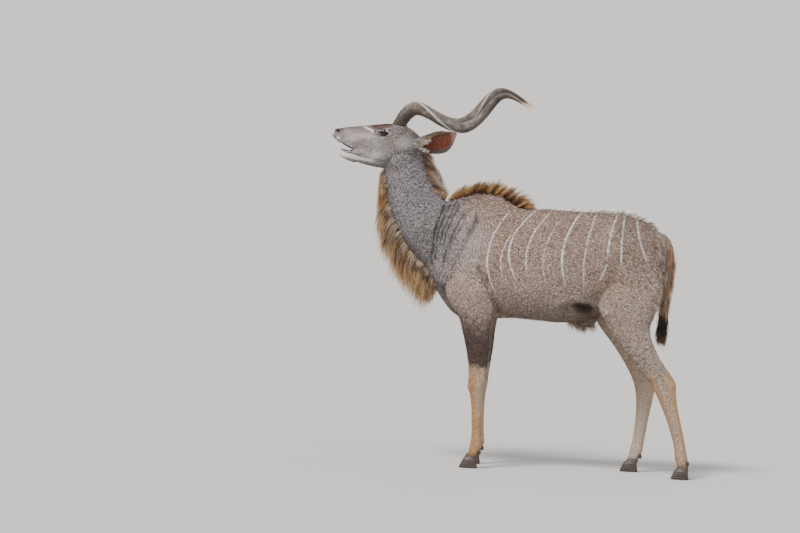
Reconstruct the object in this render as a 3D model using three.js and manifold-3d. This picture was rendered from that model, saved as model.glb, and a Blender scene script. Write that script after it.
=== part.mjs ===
// A greater kudu bull, life size, standing still with its head raised as if browsing.
// Millimetres, +Z up. The bull faces -X, its left side is -Y, and its hooves stand on z = 0.
// The origin lies on the ground under the middle of the whole animal.

import * as THREE from "three";
import { mergeVertices } from "three/addons/utils/BufferGeometryUtils.js";
import Module from "manifold-3d";

const wasm = await Module();
wasm.setup();

// Driving dimensions
const GAP = 0.3; // between neighbouring sub-parts
const RING_SIDES = 16; // sides of the rings of torso, neck and head
const LEG_SIDES = 12;
const TORSO_STEPS = 20;
const NECK_STEPS = 12;
const SKULL_STEPS = 19;
const JAW_STEPS = 9;
const TAIL_STEPS = 9;

// The cuts that part torso, neck and head: x, z and how far their normals lean up, in radians
const NECK_CUT = [-358, 1120, 0.108];
const HEAD_CUT = [-560, 1482, Math.atan2(201, 90)];

// Torso: x, top z, bottom z, half width, height of the widest line as a share
// of the depth from the top, roundness above it, roundness below it
const TORSO = [
  [-402, 1160, 925, 26, 0.5, 2, 2],
  [-368, 1262, 866, 76, 0.55, 2, 2],
  [-335, 1318, 819, 104, 0.58, 1.8, 2],
  [-295, 1339, 772, 126, 0.58, 1.6, 2],
  [-245, 1357, 741, 144, 0.58, 1.5, 2],
  [-190, 1373, 730, 157, 0.56, 1.4, 2.1],
  [-130, 1377, 732, 165, 0.55, 1.4, 2.2],
  [-75, 1368, 740, 169, 0.55, 1.45, 2.2],
  [-20, 1333, 747, 174, 0.56, 1.6, 2.3],
  [51, 1302, 749, 183, 0.57, 1.75, 2.3],
  [141, 1299, 744, 196, 0.58, 1.85, 2.3],
  [241, 1300, 740, 206, 0.57, 1.9, 2.3],
  [340, 1299, 752, 204, 0.54, 1.85, 2.2],
  [439, 1297, 786, 194, 0.48, 1.8, 2.1],
  [538, 1294, 830, 186, 0.42, 1.8, 2],
  [632, 1273, 868, 170, 0.4, 1.8, 2],
  [697, 1240, 904, 136, 0.42, 1.9, 2],
  [745, 1190, 960, 88, 0.45, 2, 2],
  [776, 1130, 1030, 34, 0.5, 2, 2],
];

// Neck: throat x, z, nape x, z, half width, height of the widest line as a share
// of the depth from the throat, roundness on the throat side and on the nape side
const NECK = [
  [-640, 1560, -500, 1622, 62, 0.5, 2, 2],
  [-662, 1478, -470, 1578, 76, 0.45, 2.1, 1.8],
  [-656, 1405, -448, 1505, 82, 0.42, 2.1, 1.7],
  [-645, 1340, -422, 1436, 86, 0.42, 2.1, 1.65],
  [-624, 1256, -394, 1376, 90, 0.42, 2.1, 1.6],
  [-592, 1178, -358, 1333, 98, 0.42, 2.1, 1.6],
  [-549, 1105, -315, 1292, 108, 0.44, 2.1, 1.6],
  [-490, 1033, -265, 1214, 120, 0.46, 2, 1.7],
  [-432, 970, -215, 1126, 126, 0.5, 2, 2],
  [-388, 906, -170, 1010, 112, 0.5, 2, 2],
  [-330, 850, -140, 900, 80, 0.5, 2, 2],
];

// Head, from the poll to the nose: x, top z, bottom z, half width, share, roundness above, below
const SKULL = [
  [-490, 1632, 1520, 44, 0.5, 2, 2],
  [-527, 1662, 1486, 62, 0.45, 2.1, 2],
  [-567, 1680, 1470, 73, 0.4, 2.6, 2],
  [-607, 1688, 1466, 78, 0.36, 2.9, 2],
  [-640, 1688, 1474, 79, 0.32, 2.8, 2],
  [-668, 1686, 1490, 77, 0.3, 2.5, 2],
  [-698, 1682, 1506, 66, 0.32, 2.4, 2],
  [-735, 1677, 1523, 56, 0.38, 2.3, 2.2],
  [-778, 1671, 1536, 49, 0.45, 2.2, 2.4],
  [-818, 1666, 1548, 45, 0.5, 2.2, 2.4],
  [-852, 1661, 1562, 44, 0.5, 2.3, 2.5],
  [-882, 1656, 1578, 43, 0.5, 2.3, 2.5],
  [-907, 1649, 1592, 38, 0.5, 2.2, 2.4],
  [-924, 1639, 1608, 26, 0.5, 2, 2.2],
  [-931, 1630, 1618, 10, 0.5, 2, 2],
];
const JAW = [
  [-596, 1610, 1476, 52, 0.5, 2, 2],
  [-640, 1624, 1462, 64, 0.5, 2, 2],
  [-690, 1610, 1465, 62, 0.5, 2, 2],
  [-730, 1598, 1471, 55, 0.5, 2, 2],
  [-768, 1586, 1479, 47, 0.5, 2, 2],
  [-800, 1568, 1488, 41, 0.5, 2, 2],
  [-822, 1549, 1493, 37, 0.45, 2.2, 2],
  [-842, 1540, 1498, 33, 0.4, 2.4, 2.1],
  [-866, 1534, 1504, 29, 0.4, 2.3, 2.2],
  [-883, 1527, 1512, 15, 0.5, 2, 2],
];

// Legs: height, x of the left leg, x of the right leg, half depth, half width, |y|
const FORELEG = [
  [1080, -182, -178, 84, 30, 104],
  [985, -192, -186, 112, 42, 104],
  [900, -197, -184, 126, 50, 114],
  [835, -190, -172, 122, 52, 120],
  [790, -176, -156, 104, 50, 124],
  [750, -163, -144, 86, 47, 127],
  [678, -156, -138, 70, 43, 126],
  [604, -146, -134, 61, 37, 125],
  [529, -140, -132, 51, 32, 124],
  [470, -140, -134, 46, 30, 124],
  [435, -141, -136, 45, 32, 124],
  [400, -141, -136, 42, 31, 124],
  [360, -139, -134, 34, 26, 124],
  [300, -136, -131, 28, 21, 124],
  [225, -133, -129, 26, 21, 124],
  [160, -130, -127, 27, 22, 124],
  [118, -130, -127, 31, 26, 124],
  [92, -135, -132, 30, 26, 124],
  [66, -143, -140, 28, 24, 124],
  [40, -151, -148, 31, 27, 124],
];
const HINDLEG = [
  [1150, 612, 602, 100, 34, 88],
  [1050, 604, 586, 142, 54, 98],
  [960, 598, 568, 162, 66, 108],
  [885, 594, 556, 166, 68, 114],
  [815, 590, 542, 142, 66, 120],
  [729, 602, 549, 106, 57, 130],
  [647, 650, 597, 87, 48, 137],
  [575, 700, 639, 77, 40, 140],
  [515, 750, 674, 74, 34, 141],
  [470, 784, 690, 67, 32, 142],
  [425, 799, 694, 55, 32, 142],
  [370, 817, 693, 45, 28, 142],
  [304, 840, 689, 38, 23, 142],
  [235, 862, 682, 34, 22, 142],
  [166, 881, 674, 32, 23, 142],
  [118, 890, 666, 34, 27, 142],
  [84, 898, 659, 33, 26, 142],
  [60, 901, 650, 31, 25, 142],
  [40, 902, 644, 33, 27, 142],
];

// Hooves: two toes each, side by side
const HOOF_TOP = 46; // height of the coronet's cut at the hoof's middle
const HOOF_TILT = 0.22; // the coronet drops this much per millimetre towards the heel
const TOE_LENGTH = 88;
const TOE_WIDTH = 29;
const CLEFT = 5; // between the toes at the sole
const FORE_KNEE = 412;
const HIND_HOCK = 452;

// Head details
const EYE = { x: -664, y: 63, z: 1641, radius: 21 };
const LID_OPENING = { length: 38, height: 24, tilt: 0.1 };
const BROW = { width: 34, depth: 24, height: 24, inward: 2, rise: 2 };
const NOSTRIL = { x: -903, y: 33, z: 1637 };
const NOSTRIL_CUT = { length: 13, depth: 12, height: 4.5, tilt: 0.5, outward: 6 };
const WING = { length: 20, depth: 11, height: 15 }; // the rim of flesh round a nostril

const PEDICLE = { depth: 38, foot: 40, rim: 42, top: 37 }; // the skin round a horn's root

// Half of each lip, from the corner of the mouth to the front
const UPPER_LIP = [
  [-812, 34, 1557],
  [-850, 33, 1573],
  [-880, 31, 1590],
  [-905, 22, 1604],
  [-915, 0, 1610],
];
const LOWER_LIP = [
  [-812, 31, 1541],
  [-842, 26, 1533],
  [-862, 20, 1527],
  [-874, 0, 1522],
];
const LIP_RADIUS = [9, 8]; // upper and lower
const TONGUE = { x: -852, z: 1540, length: 34, width: 17, height: 7 };

// Sheath under the belly: x, z and radius along its middle line
const SHEATH = [
  [280, 764, 12],
  [325, 757, 24],
  [370, 751, 28],
  [405, 756, 20],
  [432, 772, 10],
];

// Horns: an open spiral that leaves the head, runs backward and spreads
const HORN_ROOT = new THREE.Vector3(-598, 49, 1682);
const HORN_SPREAD = 0.14; // radians between the spiral's axis and the body's middle
// The two horns differ a little: rise of the axis in radians, length along it and its power,
// spiral radius at root, middle and tip, turn from root to tip in radians and its power
const HORN_LEFT = {
  rise: 0.21, run: 702.5, runPower: 1.088, coil: [75, 51, 63.5], turn: 9.8, turnPower: 1.138,
};
const HORN_RIGHT = {
  rise: 0.256, run: 703.1, runPower: 1.142, coil: [75, 31, 77.5], turn: 10.31, turnPower: 1.079,
};
const HORN_RADIUS = 30.5; // of the horn itself at its root
const HORN_KEEL = 0.2; // how far the keel stands out, as a share of the radius
const HORN_SINK = 26; // the depth hidden in the head
const HORN_STEPS = 36;
const HORN_SIDES = 9;

// Ears
const EAR_ROOT = new THREE.Vector3(-520, 72, 1596);
const EAR_TIP = new THREE.Vector3(-306, 150, 1661);
const EAR_WALL = 4;
const EAR_DROP = 0.05; // radians, how much lower the right ear is held
const EAR_TURN = 0.2; // radians, how much further out the right ear is turned
const EAR_FOOT = 0.1; // where the ear meets its stump, as a share of its length
const EAR_LOCKS = 4;

// Hair: share of a lock's length and its size there, then each place's count and sizes
const LOCK_PROFILE = [
  [0, 0.8],
  [0.42, 1],
  [0.76, 0.62],
];
const FRINGE_LOCKS = {
  count: 15,
  spacing: 22,
  splay: 20,
  width: 58,
  thick: 12,
  sink: 30,
  seed: 3,
  fray: 0.28,
};
const NAPE_LOCKS = {
  count: 7,
  spacing: 14,
  splay: 10,
  width: 42,
  thick: 10,
  sink: 26,
  seed: 5,
  fray: 0.3,
};
const CREST_LOCKS = {
  count: 13,
  spacing: 15,
  splay: 10,
  width: 46,
  thick: 10,
  sink: 26,
  seed: 8,
  fray: 0.35,
};

const COLOURS = {
  coat: 0x978377,
  neck: 0x7d757a,
  face: 0x8f8482,
  horn: 0x857a6c,
  ear: 0x8c7a70,
  eye: 0x17100c,
  foreleg: 0x9a8570,
  hindleg: 0xa88d78,
  hoof: 0x3d3631,
  tail: 0x7b6655,
};

// Repeatable random numbers from 0 to 1
function randomSource(seed) {
  let state = seed;
  return () => {
    state = (state + 0x6d2b79f5) | 0;
    let t = Math.imul(state ^ (state >>> 15), 1 | state);
    t = (t + Math.imul(t ^ (t >>> 7), 61 | t)) ^ t;
    return ((t ^ (t >>> 14)) >>> 0) / 4294967296;
  };
}

// From and to solids
function solidOf(geometry) {
  const bare = geometry.clone();
  bare.deleteAttribute("normal");
  bare.deleteAttribute("uv");
  const merged = mergeVertices(bare, 1e-4);
  const faces = Array.from(merged.index.array);
  const kept = faces.filter((_, i) => {
    const [a, b, c] = faces.slice(i - (i % 3), i - (i % 3) + 3);
    return a !== b && b !== c && c !== a;
  });
  return new wasm.Manifold(
    new wasm.Mesh({
      numProp: 3,
      vertProperties: new Float32Array(merged.attributes.position.array),
      triVerts: new Uint32Array(kept),
    }),
  );
}

function largestOf(solid) {
  return solid.decompose().sort((a, b) => b.volume() - a.volume())[0];
}

function geometryOf(solid) {
  const mesh = largestOf(solid).getMesh();
  const geometry = new THREE.BufferGeometry();
  geometry.setAttribute("position", new THREE.BufferAttribute(mesh.vertProperties, 3));
  geometry.setIndex(new THREE.BufferAttribute(mesh.triVerts, 1));
  geometry.computeVertexNormals();
  return geometry;
}

function join(...solids) {
  return wasm.Manifold.union(solids.flat());
}

// A closed solid through rings of equal count, fanned shut at both ends
function loftGeometry(rings) {
  const sides = rings[0].length;
  const positions = rings.flat().flatMap((p) => [p.x, p.y, p.z]);
  const index = [];
  for (let r = 0; r + 1 < rings.length; r += 1) {
    for (let i = 0; i < sides; i += 1) {
      const a = r * sides + i;
      const b = r * sides + ((i + 1) % sides);
      index.push(a, b, a + sides, b, b + sides, a + sides);
    }
  }
  const last = (rings.length - 1) * sides;
  for (let i = 1; i + 1 < sides; i += 1) {
    index.push(0, i + 1, i);
    index.push(last, last + i, last + i + 1);
  }
  const geometry = new THREE.BufferGeometry();
  geometry.setAttribute("position", new THREE.Float32BufferAttribute(positions, 3));
  geometry.setIndex(index);
  return geometry;
}

function loft(rings) {
  const solid = solidOf(loftGeometry(rings));
  return solid.volume() > 0 ? solid : solidOf(loftGeometry(rings.map((ring) => ring.slice().reverse())));
}

// One ring across a body: it spans from point a to point b, and is widest at a share between them
function ring({ a, b, half, share, roundA, roundB }, sides, grow = 0) {
  const along = new THREE.Vector3().subVectors(b, a).normalize();
  const from = a.clone().addScaledVector(along, -grow);
  const to = b.clone().addScaledVector(along, grow);
  const middle = from.clone().lerp(to, share);
  const points = [];
  for (let i = 0; i < sides; i += 1) {
    const angle = (2 * Math.PI * (i + 0.5)) / sides;
    const c = Math.cos(angle);
    const s = Math.sin(angle);
    const power = 2 / (c > 0 ? roundA : roundB);
    const point = middle.clone().lerp(c > 0 ? from : to, Math.abs(c) ** power);
    point.y += Math.sign(s) * Math.abs(s) ** power * (half + grow);
    points.push(point);
  }
  return points;
}

// Rings at even steps along smooth curves through a few stations
function rings(stations, steps, sides, grow = 0) {
  const curve = (points) => new THREE.CatmullRomCurve3(points, false, "catmullrom", 0.5);
  const a = curve(stations.map((s) => s.a));
  const b = curve(stations.map((s) => s.b));
  const shape = curve(stations.map((s) => new THREE.Vector3(s.half, s.share, s.roundA)));
  const below = curve(stations.map((s) => new THREE.Vector3(s.roundB, 0, 0)));
  const result = [];
  for (let i = 0; i <= steps; i += 1) {
    const t = i / steps;
    const { x: half, y: share, z: roundA } = shape.getPoint(t);
    const roundB = below.getPoint(t).x;
    const station = { a: a.getPoint(t), b: b.getPoint(t), half, share, roundA, roundB };
    result.push(ring(station, sides, grow));
  }
  return result;
}

const upright = ([x, top, bottom, half, share, roundA, roundB]) => ({
  a: new THREE.Vector3(x, 0, top),
  b: new THREE.Vector3(x, 0, bottom),
  half,
  share,
  roundA,
  roundB,
});

const slanted = ([ax, az, bx, bz, half, share, roundA, roundB]) => ({
  a: new THREE.Vector3(ax, 0, az),
  b: new THREE.Vector3(bx, 0, bz),
  half,
  share,
  roundA,
  roundB,
});

// Cuts
const forward = (angle) => [-Math.cos(angle), 0, Math.sin(angle)];

// The part of a solid ahead of a plane through (x, z) whose normal points forward and up by angle,
// or with side -1 the part behind it
function trim(solid, x, z, angle, side = 1) {
  const [nx, , nz] = forward(angle);
  const offset = nx * x + nz * z;
  return solid.trimByPlane([side * nx, 0, side * nz], side * offset + GAP / 2);
}

// A lock of hair: flat and tapered, from a sunk root over a bend to a point.
// Its width lies along the direction across, and its path leans by bend at the middle.
function lock({ root, tip, bend, width, thick, across, sink }) {
  const out = new THREE.Vector3().subVectors(tip, root);
  const start = root.clone().addScaledVector(out.clone().normalize(), -sink);
  const middle = root.clone().addScaledVector(out, 0.5).add(bend);
  const curve = new THREE.QuadraticBezierCurve3(start, middle, tip);
  const sections = LOCK_PROFILE.map(([share, size]) => {
    const centre = curve.getPoint(share);
    const tangent = curve.getTangent(share);
    const side = across.clone().addScaledVector(tangent, -across.dot(tangent)).normalize();
    const face = new THREE.Vector3().crossVectors(tangent, side);
    const w = (width * size) / 2;
    const t = (thick * size) / 2;
    return [
      centre.clone().addScaledVector(side, w),
      centre.clone().addScaledVector(face, t),
      centre.clone().addScaledVector(side, -w),
      centre.clone().addScaledVector(face, -t),
    ];
  });
  const end = curve.getPoint(1);
  return loft([...sections, [end, end, end, end]]);
}

// Two rows of locks along a line of roots. They stand apart sideways and splay outward.
function mane({ line: roots, reach }, { count, spacing, splay, width, thick, sink, seed, fray }) {
  const random = randomSource(seed);
  const locks = [];
  for (const side of [-0.5, 0.5]) {
    for (let i = 0; i < count; i += 1) {
      const t = Math.min((i + 0.4 + 0.5 * side + 0.3 * random()) / count, 1);
      const root = roots.getPoint(t);
      const out = reach.getPoint(t).multiplyScalar(1 - fray * random());
      const along = roots.getTangent(t);
      root.y += side * spacing;
      out.y += side * splay + 0.5 * splay * (random() - 0.5);
      out.addScaledVector(along, 0.12 * out.length() * (random() - 0.5));
      const bend = new THREE.Vector3(0, side * 0.4 * splay, 0);
      bend.addScaledVector(out, 0.06 * (random() - 0.5));
      const tip = root.clone().add(out);
      const wide = width * (0.85 + 0.3 * random());
      locks.push(lock({ root, tip, bend, width: wide, thick, across: along, sink }));
    }
  }
  return locks;
}

const group = new THREE.Group();

function add(name, solid, colour, roughness = 0.85, metalness = 0) {
  const material = new THREE.MeshStandardMaterial({ color: colour, roughness, metalness });
  const mesh = new THREE.Mesh(geometryOf(solid), material);
  mesh.name = name;
  group.add(mesh);
}

// Legs
function legRings(table, column, side, grow = 0) {
  const stations = table.map((row, i) => {
    const [height, , , depth, half, y] = row;
    const z = height + (i === 0 ? grow : 0);
    const x = row[column];
    return {
      a: new THREE.Vector3(x - depth, side * y, z),
      b: new THREE.Vector3(x + depth, side * y, z),
      half,
      share: 0.5,
      roundA: 2,
      roundB: 2,
    };
  });
  return rings(stations, table.length - 2, LEG_SIDES, grow);
}

// One toe: a pointed oval at the sole that leans back to the coronet
function toe(x, y) {
  const layers = [
    [0, 0.52, 0.48, 0.92],
    [7, 0.52, 0.48, 1],
    [26, 0.42, 0.44, 1],
    [62, 0.28, 0.42, 0.98],
  ];
  return loft(
    layers.map(([z, front, rear, wide]) =>
      ring(
        {
          a: new THREE.Vector3(x - front * TOE_LENGTH, y, z),
          b: new THREE.Vector3(x + rear * TOE_LENGTH, y, z),
          half: (wide * TOE_WIDTH) / 2,
          share: 0.6,
          roundA: 1.7,
          roundB: 2.2,
        },
        10,
      ),
    ),
  );
}

const coronet = (solid, x, side) => {
  const normal = new THREE.Vector3(-HOOF_TILT, 0, 1).normalize().multiplyScalar(side);
  const offset = normal.x * x + normal.z * HOOF_TOP;
  return solid.trimByPlane(normal.toArray(), offset + GAP / 2);
};

function leg(name, table, column, side, split, colour) {
  const whole = loft(legRings(table, column, side));
  const [, , , , , footY] = table[table.length - 1];
  const footX = table[table.length - 1][column];
  const shaft = coronet(whole, footX, 1);
  const upper = shaft.trimByPlane([0, 0, 1], split + GAP / 2);
  let lower = shaft.trimByPlane([0, 0, -1], -split + GAP / 2);
  const claws = table.find(([height]) => height < 100); // the leg's row that the dewclaws grow from
  for (const dew of [-1, 1]) {
    const claw = new THREE.SphereGeometry(1, 6, 4);
    claw.scale(10, 9, 15);
    claw.translate(claws[column] + claws[3] - 4, side * footY + dew * 15, 82);
    lower = lower.add(solidOf(claw));
  }
  add(`${name}_upper`, upper, colour);
  add(`${name}_lower`, lower, colour);
  const spread = (TOE_WIDTH + CLEFT) / 2;
  const toes = [-1, 1].map((way) => toe(footX - 10, side * footY + way * spread));
  const bridge = new THREE.SphereGeometry(1, 10, 6);
  bridge.scale(30, 22, 24);
  bridge.translate(footX + 2, side * footY, 40);
  const hoof = coronet(join(toes, solidOf(bridge)), footX, -1).intersect(legColumn(table, column, side));
  add(`hoof_${name.replace("leg", "")}`, hoof, COLOURS.hoof, 0.5);
  return loft(legRings(table, column, side, GAP));
}

// The space a hoof may fill under its leg
function legColumn(table, column, side) {
  const footX = table[table.length - 1][column];
  const footY = side * table[table.length - 1][5];
  const column3 = new THREE.BoxGeometry(2 * TOE_LENGTH, 4 * TOE_WIDTH, 200);
  column3.translate(footX, footY, 100);
  return solidOf(column3);
}

const sockets = [
  leg("foreleg_left", FORELEG, 1, -1, FORE_KNEE, COLOURS.foreleg),
  leg("foreleg_right", FORELEG, 2, 1, FORE_KNEE, COLOURS.foreleg),
  leg("hindleg_left", HINDLEG, 1, -1, HIND_HOCK, COLOURS.hindleg),
  leg("hindleg_right", HINDLEG, 2, 1, HIND_HOCK, COLOURS.hindleg),
];

// Horns: the spiral's own directions, then a keeled section swept along it
function hornCurve(side) {
  const { rise, run, runPower, coil: widths, turn, turnPower } = side < 0 ? HORN_LEFT : HORN_RIGHT;
  const [atRoot, atMiddle, atTip] = widths;
  const spread = HORN_SPREAD;
  const axis = new THREE.Vector3(
    Math.cos(rise) * Math.cos(spread),
    side * Math.sin(spread),
    Math.sin(rise) * Math.cos(spread),
  );
  const up = new THREE.Vector3(-Math.sin(rise), 0, Math.cos(rise));
  const outward = new THREE.Vector3().crossVectors(axis, up).multiplyScalar(-side);
  if (outward.y * side < 0) outward.negate();
  const radial = (t) => {
    const angle = turn * t ** turnPower;
    const upward = up.clone().multiplyScalar(Math.sin(angle));
    return upward.addScaledVector(outward, -Math.cos(angle));
  };
  const coil = (t) => atRoot * (1 - t) ** 2 + 2 * atMiddle * t * (1 - t) + atTip * t * t;
  const root = HORN_ROOT.clone().setY(side * HORN_ROOT.y).addScaledVector(radial(0), -coil(0));
  const point = (t) =>
    root.clone().addScaledVector(axis, run * t ** runPower).addScaledVector(radial(t), coil(t));
  return { point, radial };
}

function hornForm(side, grow = 0) {
  const { point, radial } = hornCurve(side);
  const tangentAt = (t) => point(t + 0.004).sub(point(Math.max(t - 0.004, 0))).normalize();
  const section = (centre, tangent, keelwards, radius, keel) => {
    const out = keelwards.clone().addScaledVector(tangent, -keelwards.dot(tangent)).normalize();
    const across = new THREE.Vector3().crossVectors(tangent, out);
    return Array.from({ length: HORN_SIDES }, (_, i) => {
      const angle = (2 * Math.PI * i) / HORN_SIDES;
      const ridge = i === 0 ? 1 + keel : 1;
      return centre
        .clone()
        .addScaledVector(out, Math.cos(angle) * radius * ridge)
        .addScaledVector(across, Math.sin(angle) * radius);
    });
  };
  const sections = [];
  const first = tangentAt(0);
  const sunk = point(0).add(new THREE.Vector3(0, -6 * side, -HORN_SINK - grow));
  sections.push(section(sunk, first, radial(0), HORN_RADIUS + grow, 0));
  for (let i = 0; i <= HORN_STEPS; i += 1) {
    const t = i / HORN_STEPS;
    const taper = (1 - 0.75 * t * t) * Math.sqrt(1 - t ** 12);
    const radius = Math.max(HORN_RADIUS * taper, 1.5) + grow;
    sections.push(section(point(t), tangentAt(t), radial(t), radius, HORN_KEEL * (1 - t)));
  }
  return loft(sections);
}

// Head
const at = ({ x, y, z }, side) => new THREE.Vector3(x, side * y, z);

function ball(centre, sx, sy, sz, wide = 14, high = 10) {
  const geometry = new THREE.SphereGeometry(1, wide, high);
  geometry.scale(sx, sy, sz);
  geometry.translate(centre.x, centre.y, centre.z);
  return solidOf(geometry);
}

function tube(points, radius, steps, sides = 5) {
  const outline = new THREE.Shape();
  outline.absarc(0, 0, radius, 0, 2 * Math.PI);
  const path = new THREE.CatmullRomCurve3(points);
  const options = { steps, extrudePath: path, curveSegments: sides, bevelEnabled: false };
  return solidOf(new THREE.ExtrudeGeometry(outline, options));
}

// A lip: a soft roll from one corner of the mouth round the front to the other
function lip(halfPoints, radius) {
  const left = halfPoints.map(([x, y, z]) => new THREE.Vector3(x, -y, z));
  const right = halfPoints.slice(0, -1).reverse().map(([x, y, z]) => new THREE.Vector3(x, y, z));
  return tube([...left, ...right], radius, 10);
}

// The opening between the lids, an almond that runs sideways through the brow
function lidOpening(side) {
  const { length, height, tilt } = LID_OPENING;
  const almond = new THREE.Shape();
  almond.moveTo(-length / 2, 0);
  almond.quadraticCurveTo(0, height, length / 2, 0);
  almond.quadraticCurveTo(0, -height, -length / 2, 0);
  const geometry = new THREE.ExtrudeGeometry(almond, { depth: 40, bevelEnabled: false, curveSegments: 8 });
  geometry.rotateX(Math.PI / 2);
  geometry.rotateY(tilt);
  geometry.translate(EYE.x, side * EYE.y + (side > 0 ? 46 : -6), EYE.z - 1);
  return solidOf(geometry);
}

function headForm() {
  const skull = loft(rings(SKULL.map(upright), SKULL_STEPS, RING_SIDES));
  const jaw = loft(rings(JAW.map(upright), JAW_STEPS, 12));
  const lips = [lip(UPPER_LIP, LIP_RADIUS[0]), lip(LOWER_LIP, LIP_RADIUS[1])];
  const tongueAt = new THREE.Vector3(TONGUE.x, 0, TONGUE.z);
  const tongue = ball(tongueAt, TONGUE.length, TONGUE.width, TONGUE.height, 8, 6);
  let solid = join(skull, jaw, lips, tongue);
  for (const side of [-1, 1]) {
    const browAt = at(EYE, side).add(new THREE.Vector3(0, -side * BROW.inward, BROW.rise));
    const brow = ball(browAt, BROW.width, BROW.depth, BROW.height, 12, 7);
    const wing = ball(at(NOSTRIL, side).setX(NOSTRIL.x + 6), WING.length, WING.depth, WING.height, 10, 6);
    solid = solid.add(join(brow, wing.translate(0, -side * 5, -2), pedicle(side), earStump(side)));
  }
  for (const side of [-1, 1]) {
    const eye = at(EYE, side);
    const socket = ball(eye, EYE.radius + GAP, EYE.radius + GAP, EYE.radius + GAP, 12, 8);
    solid = solid.subtract(join(socket, lidOpening(side), hornForm(side, GAP), nostrilCut(side)));
  }
  return solid;
}

// The skin that rises round the root of a horn
function pedicle(side) {
  const { point } = hornCurve(side);
  const circle = (centre, radius) =>
    Array.from({ length: 12 }, (_, i) => {
      const angle = (2 * Math.PI * i) / 12;
      return centre.clone().add(new THREE.Vector3(Math.cos(angle) * radius, Math.sin(angle) * radius, 0));
    });
  const low = point(0).add(new THREE.Vector3(0, -10 * side, -PEDICLE.depth));
  return loft([circle(low, PEDICLE.foot), circle(point(0), PEDICLE.rim), circle(point(0.02), PEDICLE.top)]);
}

function nostrilCut(side) {
  const geometry = new THREE.SphereGeometry(1, 10, 6);
  geometry.scale(NOSTRIL_CUT.length, NOSTRIL_CUT.depth, NOSTRIL_CUT.height);
  geometry.rotateY(NOSTRIL_CUT.tilt);
  geometry.translate(NOSTRIL.x, side * (NOSTRIL.y + NOSTRIL_CUT.outward), NOSTRIL.z);
  return solidOf(geometry);
}

// Ears: a cup whose section is an arc that closes towards the root
function earFrame(side) {
  const root = at(EAR_ROOT, side);
  const reach = new THREE.Vector3().subVectors(at(EAR_TIP, side), root);
  if (side > 0) {
    reach.applyAxisAngle(new THREE.Vector3(0, 1, 0), EAR_DROP);
    reach.applyAxisAngle(new THREE.Vector3(0, 0, 1), EAR_TURN);
  }
  const along = reach.clone().normalize();
  const face = new THREE.Vector3(-0.1, side * 0.92, -0.3);
  face.addScaledVector(along, -face.dot(along)).normalize();
  const wide = new THREE.Vector3().crossVectors(along, face);
  if (wide.z > 0) wide.negate(); // towards the lower edge
  return { root, length: reach.length(), along, face, wide };
}

function earRing(side, t, halfWide, halfDeep) {
  const { root, length, along, face, wide } = earFrame(side);
  const sag = 90 * Math.max(t, 0);
  return Array.from({ length: LEG_SIDES }, (_, i) => {
    const angle = (2 * Math.PI * i) / LEG_SIDES;
    return root
      .clone()
      .addScaledVector(along, length * t)
      .addScaledVector(face, -Math.cos(angle) * halfDeep)
      .addScaledVector(wide, sag + Math.sin(angle) * halfWide);
  });
}

function earStump(side) {
  return loft([
    earRing(side, -0.3, 44, 42),
    earRing(side, -0.14, 37, 34),
    earRing(side, 0, 32, 28),
    earRing(side, EAR_FOOT - GAP / earFrame(side).length, 30, 26),
  ]);
}

// share along the ear, half width, depth of the cup, half angle of the arc in degrees, and how far
// the middle hangs below the line from root to tip
const EAR_STATIONS = [
  [0.1, 30, 26, 168, 9],
  [0.2, 41, 31, 140, 18],
  [0.33, 50, 35, 112, 25],
  [0.48, 57, 34, 96, 30],
  [0.63, 57, 30, 88, 31],
  [0.78, 44, 22, 80, 25],
  [0.9, 26, 13, 72, 14],
  [1, 7, 4, 60, 4],
];

function earForm(side) {
  const { root, length, along, face, wide } = earFrame(side);
  const cols = 8;
  const layer = (inset) =>
    EAR_STATIONS.map(([t, halfWide, deep, degrees, sag]) =>
      Array.from({ length: cols + 1 }, (_, i) => {
        const wall = inset * EAR_WALL * (1 - 0.6 * t);
        const angle = THREE.MathUtils.degToRad(degrees) * ((2 * i) / cols - 1);
        return root
          .clone()
          .addScaledVector(along, length * t)
          .addScaledVector(face, -Math.cos(angle) * (deep - wall))
          .addScaledVector(wide, sag + Math.sin(angle) * (halfWide - wall));
      }),
    );
  const plug = loft([
    earRing(side, EAR_FOOT, 29, 25),
    earRing(side, 0.15, 33, 26),
    earRing(side, 0.2, 24, 18),
  ]);
  return join(shell(layer(0), layer(1)), plug);
}

// A closed wall between two grids of points of the same size
function shell(outer, inner) {
  const rows = outer.length;
  const cols = outer[0].length;
  const positions = [...outer.flat(), ...inner.flat()].flatMap((p) => [p.x, p.y, p.z]);
  const index = [];
  const id = (layer, r, c) => (layer * rows + r) * cols + c;
  const quad = (a, b, c, d) => index.push(a, b, c, a, c, d);
  for (let r = 0; r + 1 < rows; r += 1) {
    for (let c = 0; c + 1 < cols; c += 1) {
      quad(id(0, r, c), id(0, r, c + 1), id(0, r + 1, c + 1), id(0, r + 1, c));
      quad(id(1, r, c), id(1, r + 1, c), id(1, r + 1, c + 1), id(1, r, c + 1));
    }
    quad(id(0, r, 0), id(0, r + 1, 0), id(1, r + 1, 0), id(1, r, 0));
    const e = cols - 1;
    quad(id(0, r, e), id(1, r, e), id(1, r + 1, e), id(0, r + 1, e));
  }
  for (let c = 0; c + 1 < cols; c += 1) {
    quad(id(0, 0, c), id(1, 0, c), id(1, 0, c + 1), id(0, 0, c + 1));
    const e = rows - 1;
    quad(id(0, e, c), id(0, e, c + 1), id(1, e, c + 1), id(1, e, c));
  }
  const build = (order) => {
    const geometry = new THREE.BufferGeometry();
    geometry.setAttribute("position", new THREE.Float32BufferAttribute(positions, 3));
    geometry.setIndex(order);
    return solidOf(geometry);
  };
  const solid = build(index);
  return solid.volume() > 0 ? solid : build(index.slice().reverse());
}

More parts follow.
